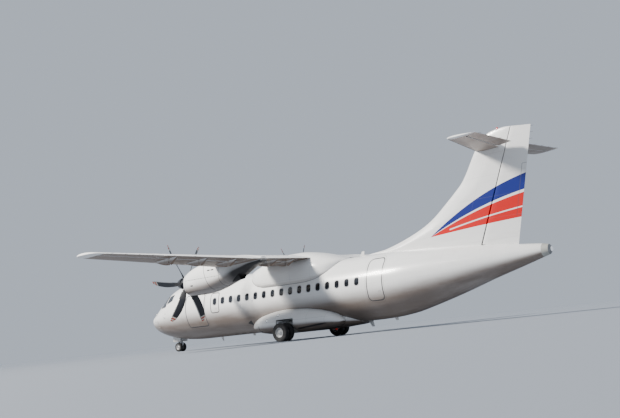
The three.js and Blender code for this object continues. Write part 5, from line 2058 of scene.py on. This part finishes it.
def fuselage_paint(f):
    """The body's white, with its seams, door seals, drains, inlets and metal tail end."""
    x, y, z = f.axes()
    side = abs(y)
    # Faces that look down turn brown: painted shade, with grime.
    colour, dirt_and_shade = skin_base(f, 0.95, paint().belly_dirt_and_shade)
    pitch = WINDOWS["pitch"]
    seams, tone = panels(f, x - (WINDOWS["first"] - pitch / 2), z - 0.19, pitch, 0.47, sizes().seam)
    slots = patches(x, side, [(place, 0.42) for place in (6.15, 6.62, 7.1)], (0.13, 0.03), 0.02)
    drains = patches(x, side, [(place, 0.2) for place in (2.6, 4.2, 13.9, 16.2, 17.8)], (0.016, 0.016), 0.015)
    vents = patches(x, z, ((3.25, 2.15), (2.05, 1.95), (8.6, 1.15)), (0.035, 0.02), 0.015)
    smudge = patch(x, z, (3.45, 1.35), (0.3, 0.3), 0.28, 0.25) * f.noise(5.0, 6.0).step(0.35, 0.75)
    ring = x.step(TAIL_RING, TAIL_RING + 0.005)
    colour = f.layers(
        colour,
        (tone * 0.05, grey(0.4)),
        (seams * 0.3, grey(0.25)),
        (line(x - RADOME_SEAM, 0.012) * 0.5, grey(0.12)),
        (door_marks(x, y, z) * 0.92, (0.035, 0.035, 0.04)),
        (most([slots, drains]) * z.step(0.9, 0.7), (0.012, 0.011, 0.01)),
        (vents * 0.85, grey(0.05)),
        (front_inlet(x, z) * side.step(0.5, 0.55), (0.008, 0.008, 0.009)),
        (smudge * 0.28, (0.16, 0.13, 0.11)),
        (ring, grey(0.3)),
        (line(x - TAIL_RING, 0.07), grey(0.02)),
    )
    return f.set(Base_Color=colour, Metallic=ring * 0.9, Roughness=0.24 + dirt_and_shade * 0.35,
                 Coat_Weight=0.25 - 0.2 * ring, Coat_Roughness=0.08, Normal=f.bump(1 - seams, 0.35))


def belly_paint(f):
    """The belly fairing's white, brown below from painted shade and grime, with its panels, dark slots and
    inlets, and a painted shade line in the creases where the pods meet the keel.
    """
    x, y, z = f.axes()
    side = abs(y)
    # Faces that look down turn brown: painted shade, with grime.
    colour, dirt_and_shade = skin_base(f, 0.97, paint().belly_dirt_and_shade)
    upright = side.step(1.0, 1.01)
    seams, tone = panels(f, x, y * (1 - upright) + (z - 0.9) * upright, 0.9, 0.66, 0.008)
    slot = line(z - 0.49 - (x - 10.98) * 0.075, 0.07) * x.step(10.98, 11.2) * x.step(12.85, 12.4)
    # A near-black line along the crease where each pod meets the keel, below z 0.6: painted crease shade.
    foot = line(side - 0.98 + (x - 11.1) * 0.06, 0.035) * x.step(11.1, 11.3) * x.step(13.0, 12.8)
    marks = [
        slot * side.step(1.15, 1.25), foot * z.step(0.6, 0.55) * 0.7,
        patch(x, z, (8.66, 0.66), (0.025, 0.13), 0.02), patch(x, z, (8.74, 0.53), (0.1, 0.022), 0.02),
        patch(x, side, (8.35, 0.75), (0.12, 0.035), 0.03), patch(x, side, (12.3, 0.5), (0.14, 0.04), 0.03),
        patch(x, side, (11.6, 0.35), (0.05, 0.05), 0.045),
    ]
    hatch = line(rounded_edge(x, side, (9.05, 0.95), (0.28, 0.2), 0.05), 0.012) * z.step(0.9, 0.8)
    colour = f.layers(
        colour,
        (tone * 0.1, (0.3, 0.28, 0.25)),
        (seams * 0.4, (0.1, 0.09, 0.08)),
        (most(marks) * 0.95, (0.01, 0.009, 0.009)),
        (hatch * 0.6, (0.08, 0.07, 0.06)),
    )
    return f.set(Base_Color=colour, Roughness=0.3 + dirt_and_shade * 0.3, Coat_Weight=0.15,
                 Normal=f.bump(1 - seams, 0.3))


def shell_paint(f):
    """White composite with few seams, for the fairing under the wing."""
    x, _, z = f.axes()
    # Faces that look down turn brown: painted shade, with light grime.
    colour, dirt_and_shade = skin_base(f, 0.4, paint().wing_dirt_and_shade)
    seams, tone = panels(f, x - 8.3, z - 0.1, 1.15, 1.31, 0.009)
    colour = f.layers(colour, (tone * 0.05, grey(0.4)), (seams * 0.45, grey(0.2)))
    uneven = f.noise(5.0, 3.0) * 0.04
    return f.set(Base_Color=colour, Roughness=0.27 + dirt_and_shade * 0.3 + uneven, Coat_Weight=0.2, Coat_Roughness=0.1,
                 Normal=f.bump(1 - seams, 0.3))


def undersides(f, scale, stretch, tone):
    """Where a wing's skin looks down, the marks of its panels' tone there, and drips along it."""
    under = f.normal(2).step(0.0, -0.2)
    drips = f.noise(scale, 5.0, stretch).step(0.5, 0.72) * under
    return under, tone * under, drips


def wing_paint(f):
    """The wing's skin: ribs, spars and access panels show, with undersides and hinge fairings darkened by
    painted shade and grime, and white tips.
    """
    x, y, z = f.axes()
    side = abs(y)
    outer = ((side - WING["kink"]) / (HALF_SPAN - WING["kink"])).math("MAXIMUM", 0.0)
    share = (x - WING["lead"] - (WING["tip_lead"] - WING["lead"]) * outer) / (
        (WING["tip_chord"] - WING["chord"]) * outer + WING["chord"])
    colour, dirt_and_shade = skin_base(f, 1.0, paint().wing_dirt_and_shade)
    pitch = 0.62
    seams, tone = panels(f, side, share - 0.14, pitch, 0.235, 0.011)
    under, toned, drips = undersides(f, 7.0, (0.12, 1.6, 1.0), tone)
    ribs = line((side + pitch / 2).nearest(pitch), 0.011)
    spars = most([line(share - place, 0.005) for place in (0.14, 0.6)])
    hatch = abs(rounded_edge(side.nearest(pitch), share, (pitch / 2, 0.37), (0.15, 0.1), 0.08))
    hatch = hatch.step(0.008, 0.003) * under * between(side, 1.7, 10.9)
    # Parts below the wing, such as the hinge fairings, darken the lower they hang: painted shade under the
    # wing, in the brown of the undersides.
    shade_below_wing = (WING["height"] + WING["rise"] * outer - z).step(0.1, 0.2)
    colour = f.layers(
        colour,
        (toned * 0.22, (0.1, 0.085, 0.075)),
        (drips * 0.35, (0.07, 0.055, 0.045)),
        (shade_below_wing * 0.75, paint().wing_dirt_and_shade),
        (most([ribs * 0.5, spars, hatch * 0.8]) * 0.6, (0.05, 0.045, 0.04)),
        (side.step(11.98, 11.985), paint().white),
    )
    return f.set(Base_Color=colour, Roughness=0.3 + dirt_and_shade * 0.25, Coat_Weight=0.1,
                 Normal=f.bump(1 - most([seams, hatch]), 0.3))


def tailplane_paint(f):
    """The tailplane's skin, like the wing's, with white ends."""
    x, y, _ = f.axes()
    side = abs(y)
    # Faces that look down turn brown: painted shade, with grime.
    colour, dirt_and_shade = skin_base(f, 0.9, paint().wing_dirt_and_shade)
    seams, tone = panels(f, side, x - 20.42 - side * 0.16, 0.45, 0.5, 0.009)
    _, toned, drips = undersides(f, 8.0, (0.15, 1.6, 1.0), tone)
    colour = f.layers(
        colour,
        (toned * 0.15, (0.1, 0.085, 0.075)),
        (drips * 0.25, (0.07, 0.055, 0.045)),
        (seams * 0.5, (0.06, 0.055, 0.05)),
        (side.step(3.55, 3.555), paint().white),
    )
    return f.set(Base_Color=colour, Roughness=0.3 + dirt_and_shade * 0.25, Coat_Weight=0.1,
                 Normal=f.bump(1 - seams, 0.3))


def cowl_paint(f):
    """The nacelle's white, with cowl seams, latches, vents and soot round the exhaust."""
    x, _, z = f.axes()
    # Faces that look down turn brown: painted shade, with grime.
    colour, _ = skin_base(f, 0.9, paint().belly_dirt_and_shade)
    front, middle, rear = COWL_SEAMS
    doors = between(x, front, rear)
    seam = most([
        line(x - front, 0.02), line(x - middle - (3.77 - z) * 0.37, 0.032), line(x - rear, 0.02),
        line(z - 3.12, 0.012) * doors, line(z - 2.62, 0.01) * doors,
    ])
    latches = patch(x.nearest(0.42), z, (0.12, 3.12), (0.03, 0.012), 0.01, 0.003) * doors
    vents = patches(x, z, ((8.75, 3.42), (8.98, 3.42), (7.6, 2.86)), (0.09, 0.028), 0.025, 0.005)
    trail = 0.75 + 0.5 * f.noise(2.6, 5.0, (0.3, 1.0, 1.0))
    soot = (x - 9.45).step(0.0, 0.75) * f.normal(2).step(0.3, -0.3) * trail
    colour = f.layers(
        colour,
        (seam * 0.85, grey(0.03)),
        (most([latches * 0.7, vents]), (0.03, 0.03, 0.032)),
        (soot.math("MINIMUM", 0.97), (0.014, 0.013, 0.014)),
    )
    return f.set(Base_Color=colour, Roughness=0.24 + soot * 0.45, Coat_Weight=0.2, Coat_Roughness=0.1,
                 Normal=f.bump(1 - seam, 0.4, 0.003))


FIN_ART = {
    "start": 17.45, "length": 4.75, "foot": 3.68,
    # upper and lower edge of each band, as shares of the bow and of the run
    "blue": ((1.12, 0.85), (0.75, 0.6)), "red": ((0.66, 0.58), (0.1, 0.16)), "arc": (0.32, 0.36),
}


def fin_paint(f):
    """White, with two generic swept wings of colour that open towards the rudder's rear edge."""
    x, _, z = f.axes()
    # Faces that look down turn brown: painted shade, with light grime.
    colour, dirt_and_shade = skin_base(f, 0.4, paint().wing_dirt_and_shade)
    run = ((x - FIN_ART["start"]) / FIN_ART["length"]).math("MAXIMUM", 0.0)
    over = z - FIN_ART["foot"]
    bow = run * (2 - run)

    def above(edge):
        return over - bow * edge[0] - run * edge[1]

    def band(edges):
        upper, lower = edges
        return above(upper).step(0.004, -0.004) * above(lower).step(-0.004, 0.004)

    arc = line(above(FIN_ART["arc"]), 0.05) * run.step(0.2, 0.201)
    spar = line(x - fin_hinge(z) + 0.95, 0.007) * z.step(4.0, 4.01)
    seams = most([line((z - 4.05).nearest(0.86), 0.008), spar])
    tab = x - fin_tail(z) + 0.2
    tab_ends = most([line(z - end, 0.016) for end in (4.0, 6.0)]) * tab.step(-0.01, 0.0)
    tab_line = most([line(tab, 0.02) * between(z, 4.0, 6.0), tab_ends])
    grille = patch(x, z, (19.05, 6.02), (0.17, 0.03), 0.02)
    colour = f.layers(
        colour,
        (band(FIN_ART["blue"]), paint().fin_blue),
        (band(FIN_ART["red"]) * (1 - arc), paint().fin_red),
        (seams * 0.3, grey(0.2)),
        (tab_line * 0.75, grey(0.06)),
        (grille * 0.35, grey(0.08)),
    )
    return f.set(Base_Color=colour, Roughness=0.24 + dirt_and_shade * 0.3, Coat_Weight=0.25, Coat_Roughness=0.08,
                 Normal=f.bump(1 - most([seams, tab_line]), 0.3))


def darker(colour, share):
    """A colour at a share of its brightness."""
    return tuple(part * share for part in colour)


def plain(colour, rough, metal=0.0, coat=0.0, vary=0.15, bump=0.1):
    """A finish of one colour with a fine, uneven grain."""
    def make(f):
        fine = f.noise(40.0, 5.0)
        tone = f.mix(f.noise(2.0, 4.0).step(0.35, 0.7), colour, darker(colour, 1 - vary))
        return f.set(Base_Color=tone, Roughness=rough + fine * 0.1, Metallic=metal, Coat_Weight=coat,
                     Normal=f.bump(fine, bump, 0.001))
    return make


def blade_black(f):
    """Near-black blades: a rubber boot at the root, worn paint, and pale and red tips."""
    _, y, z = f.axes()
    across = abs(y) - SHAFT["side"]
    up = z - SHAFT["height"]
    reach = (across * across + up * up).math("SQRT")
    worn = f.noise(30.0, 4.0)
    boot = reach.step(0.82, 0.815) * reach.step(0.3, 0.31)
    inner, outer = between(reach, 1.74, 1.8, 0.003), between(reach, 1.86, 1.92, 0.003)
    colour = f.layers(
        paint().blade,
        (worn.step(0.4, 0.8) * 0.25, (0.03, 0.031, 0.034)),
        (boot * 0.6, (0.008, 0.008, 0.009)),
        (most([inner, outer]), (0.55, 0.52, 0.46)),
        (reach.step(1.8, 1.803) * (1 - outer), (0.42, 0.06, 0.035)),
    )
    return f.set(Base_Color=colour, Roughness=0.3 + worn * 0.15 + boot * 0.25, Coat_Weight=0.1)


def nickel(f):
    """The worn metal strip of a blade's front edge."""
    scratch = f.noise(60.0, 6.0, (1, 4, 4))
    colour = f.mix(scratch, (0.36, 0.35, 0.33), (0.5, 0.49, 0.47))
    return f.set(Base_Color=colour, Metallic=0.9, Roughness=0.28 + scratch * 0.2)


def tyre_rubber(f):
    """Rubber with patches of dust and a fine grain."""
    fine = f.noise(90.0, 5.0)
    dust = f.noise(6.0, 5.0).step(0.4, 0.75)
    colour = f.mix(dust * 0.5, (0.014, 0.014, 0.015), (0.055, 0.05, 0.046))
    return f.set(Base_Color=colour, Roughness=0.68 + fine * 0.2, Normal=f.bump(fine, 0.35))


def gear_finish(f):
    """Grey gloss paint on forged metal, with oily grime in patches."""
    oil = f.noise(9.0, 6.0).step(0.48, 0.72)
    colour = f.mix(oil * 0.55, paint().gear, (0.1, 0.09, 0.08))
    return f.set(Base_Color=colour, Roughness=0.32 + oil * 0.3, Coat_Weight=0.15,
                 Normal=f.bump(f.noise(70.0, 4.0), 0.12, 0.001))


def chrome(f):
    """Polished oleo rod with fine rings."""
    rings = f.noise(30.0, 2.0, (0.3, 0.3, 3))
    colour = f.mix(rings, (0.62, 0.62, 0.63), (0.75, 0.75, 0.76))
    return f.set(Base_Color=colour, Metallic=1.0, Roughness=0.1 + rings * 0.12)


def lens(colour, glow):
    """A lamp's glass: clear colour over a bright reflector."""
    def make(f):
        ribs = f.noise(60.0, 2.0)
        light = f.mix(ribs * 0.2, colour, grey(0.0))
        return f.set(Base_Color=f.mix(ribs * 0.3, colour, darker(colour, 0.6)), Roughness=0.08 + ribs * 0.06,
                     Coat_Weight=1.0, Emission_Color=light, Emission_Strength=glow)
    return make


MAKERS = {
    "fuselage_paint": fuselage_paint,
    "belly_paint": belly_paint,
    "shell_paint": shell_paint,
    "wing_paint": wing_paint,
    "tailplane_paint": tailplane_paint,
    "cowl_paint": cowl_paint,
    "fin_paint": fin_paint,
    "blade_black": blade_black,
    "nickel": nickel,
    "spinner_black": plain((0.012, 0.012, 0.014), 0.22, coat=0.4, bump=0.02),
    "rubber_boot": plain((0.016, 0.016, 0.018), 0.45, vary=0.35),
    "lining": plain((0.4, 0.4, 0.37), 0.6),
    "sealant": plain(grey(0.07), 0.6),
    "window_rim": plain(grey(0.5), 0.35),
    "glass": plain((0.008, 0.01, 0.014), 0.06, coat=1.0, bump=0.0),
    "cockpit_glass": plain((0.008, 0.01, 0.014), 0.05, coat=1.0, bump=0.0),
    "pane_frame": plain((0.1, 0.1, 0.105), 0.5),
    "sooty_metal": plain((0.018, 0.017, 0.017), 0.6, metal=0.5, vary=0.5),
    "tyre_rubber": tyre_rubber,
    "wheel_paint": plain(grey(0.5), 0.4, metal=0.2, vary=0.4),
    "gear_finish": gear_finish,
    "chrome": chrome,
    "stair_metal": plain((0.32, 0.33, 0.34), 0.45, metal=0.6, vary=0.3),
    "antenna_white": plain((0.7, 0.7, 0.69), 0.35, vary=0.2),
    "hose": plain(grey(0.02), 0.5),
    "clear_lens": lens((0.9, 0.92, 0.95), 0.35),
    "red_lens": lens((0.6, 0.02, 0.015), 0.3),
    "green_lens": lens((0.01, 0.4, 0.08), 0.3),
}


# Stage

BACKDROP = {"colour": (0.49, 0.545, 0.63), "strength": 1.0}
KEY = {
    "place": (-20.0, -30.0, 32.0), "aim": (0.0, 0.0, 2.0), "size": 9.0, "power": 60000.0,
    "colour": (1.0, 0.96, 0.9),
}
CAMERA = {
    "azimuth": 38.0, "distance": 44.0, "height": 0.3, "aim": (-0.14, -0.12, 5.9), "frame_width": 28.4,
    "roll": -6.0, "sensor": 36.0, "reach": 1000.0,
}
FLOOR_SIZE = 600.0


def floor_paint(f):
    """Plain and matt, and paler where less of the key light falls, so that it runs into the backdrop."""
    x, y, _ = f.axes()
    place = Vector(KEY["place"])
    beam = Vector(KEY["aim"]) - place
    dx, dy = x + NOSE - place.x, y - place.y
    away = dx * dx + dy * dy + place.z ** 2
    reach = (dx * beam.x + dy * beam.y - place.z * beam.z).math("MAXIMUM", 0.0)
    light = reach / (away * away) * (KEY["power"] * place.z / (math.pi ** 2 * beam.length))
    grain = f.noise(6.0, 5.0) * 0.02 + 0.99
    tones = []
    for tint, colour in zip(KEY["colour"], BACKDROP["colour"]):
        tones.append((light * (tint / (colour * BACKDROP["strength"])) + 1).math("POWER", -1.0) * grain)
    return f.set(Base_Color=f.node("ShaderNodeCombineColor", None, dict(enumerate(tones))), Roughness=0.9)


def turned_to(target, place):
    """The turn of a light or camera that looks from a place at a target."""
    return (Vector(target) - place).to_track_quat("-Z", "Y")


def add_floor():
    """A plain floor that reaches past the view."""
    bpy.ops.mesh.primitive_plane_add(size=FLOOR_SIZE, location=(0, 0, 0))
    floor = bpy.context.object
    floor.name = "floor"
    floor.data.materials.append(floor_paint(Finish("pale_floor")))


def add_backdrop(scene):
    """An even backdrop of one colour."""
    scene.world = scene.world or bpy.data.worlds.new("studio")
    scene.world.use_nodes = True
    sky = scene.world.node_tree.nodes["Background"]
    sky.inputs["Color"].default_value = (*BACKDROP["colour"], 1.0)
    sky.inputs["Strength"].default_value = BACKDROP["strength"]


def add_key():
    """The key light, a large square to the left of the camera."""
    bpy.ops.object.light_add(type="AREA", location=KEY["place"])
    key = bpy.context.object
    key.name = "key"
    key.data.size = KEY["size"]
    key.data.energy = KEY["power"]
    key.data.color = KEY["colour"]
    key.rotation_euler = turned_to(KEY["aim"], key.location).to_euler()


def add_camera(scene):
    """The camera near the floor, behind the airliner and to port."""
    turn = math.radians(CAMERA["azimuth"])
    back = Vector((math.sin(turn), -math.cos(turn), 0))
    bpy.ops.object.camera_add(location=back * CAMERA["distance"] + Vector((0, 0, CAMERA["height"])))
    camera = bpy.context.object
    camera.name = "camera"
    camera.data.lens = CAMERA["sensor"] * CAMERA["distance"] / CAMERA["frame_width"]
    camera.data.clip_end = CAMERA["reach"]
    roll = Quaternion((0, 0, 1), math.radians(CAMERA["roll"]))
    camera.rotation_euler = (turned_to(CAMERA["aim"], camera.location) @ roll).to_euler()
    scene.camera = camera


class AIRLINER_OT_stage(bpy.types.Operator):
    """Make the floor, the backdrop, the key light and the camera"""

    bl_idname = "airliner.stage"
    bl_label = "Stage"

    def execute(self, context):
        deselect()
        add_floor()
        add_backdrop(context.scene)
        add_key()
        add_camera(context.scene)
        return {"FINISHED"}


class AIRLINER_PT_panel(bpy.types.Panel):
    """The airliner's pieces"""

    bl_label = "Airliner"
    bl_idname = "AIRLINER_PT_panel"
    bl_space_type = "VIEW_3D"
    bl_region_type = "UI"
    bl_category = "Airliner"

    def draw(self, context):
        for maker in OPERATORS:
            self.layout.operator(maker.bl_idname)


OPERATORS = (
    AIRLINER_OT_body, AIRLINER_OT_doors, AIRLINER_OT_windows, AIRLINER_OT_fairings, AIRLINER_OT_wing,
    AIRLINER_OT_engines, AIRLINER_OT_propellers, AIRLINER_OT_tail, AIRLINER_OT_details, AIRLINER_OT_lamps,
    AIRLINER_OT_wheels, AIRLINER_OT_legs, AIRLINER_OT_stage,
)


CLASSES = (AirlinerPaint, AirlinerSizes, *OPERATORS, AIRLINER_PT_panel)


def register():
    """Makes the classes and the user's choices known."""
    for made in CLASSES:
        bpy.utils.register_class(made)
    bpy.types.Scene.airliner_paint = bpy.props.PointerProperty(type=AirlinerPaint)
    bpy.types.Scene.airliner_sizes = bpy.props.PointerProperty(type=AirlinerSizes)


def unregister():
    """Takes back what register made known."""
    del bpy.types.Scene.airliner_paint
    del bpy.types.Scene.airliner_sizes
    for made in reversed(CLASSES):
        bpy.utils.unregister_class(made)


def main():
    """Makes every piece."""
    register()
    for maker in OPERATORS:
        group, name = maker.bl_idname.split(".")
        getattr(getattr(bpy.ops, group), name)()


if __name__ == "__main__":
    main()
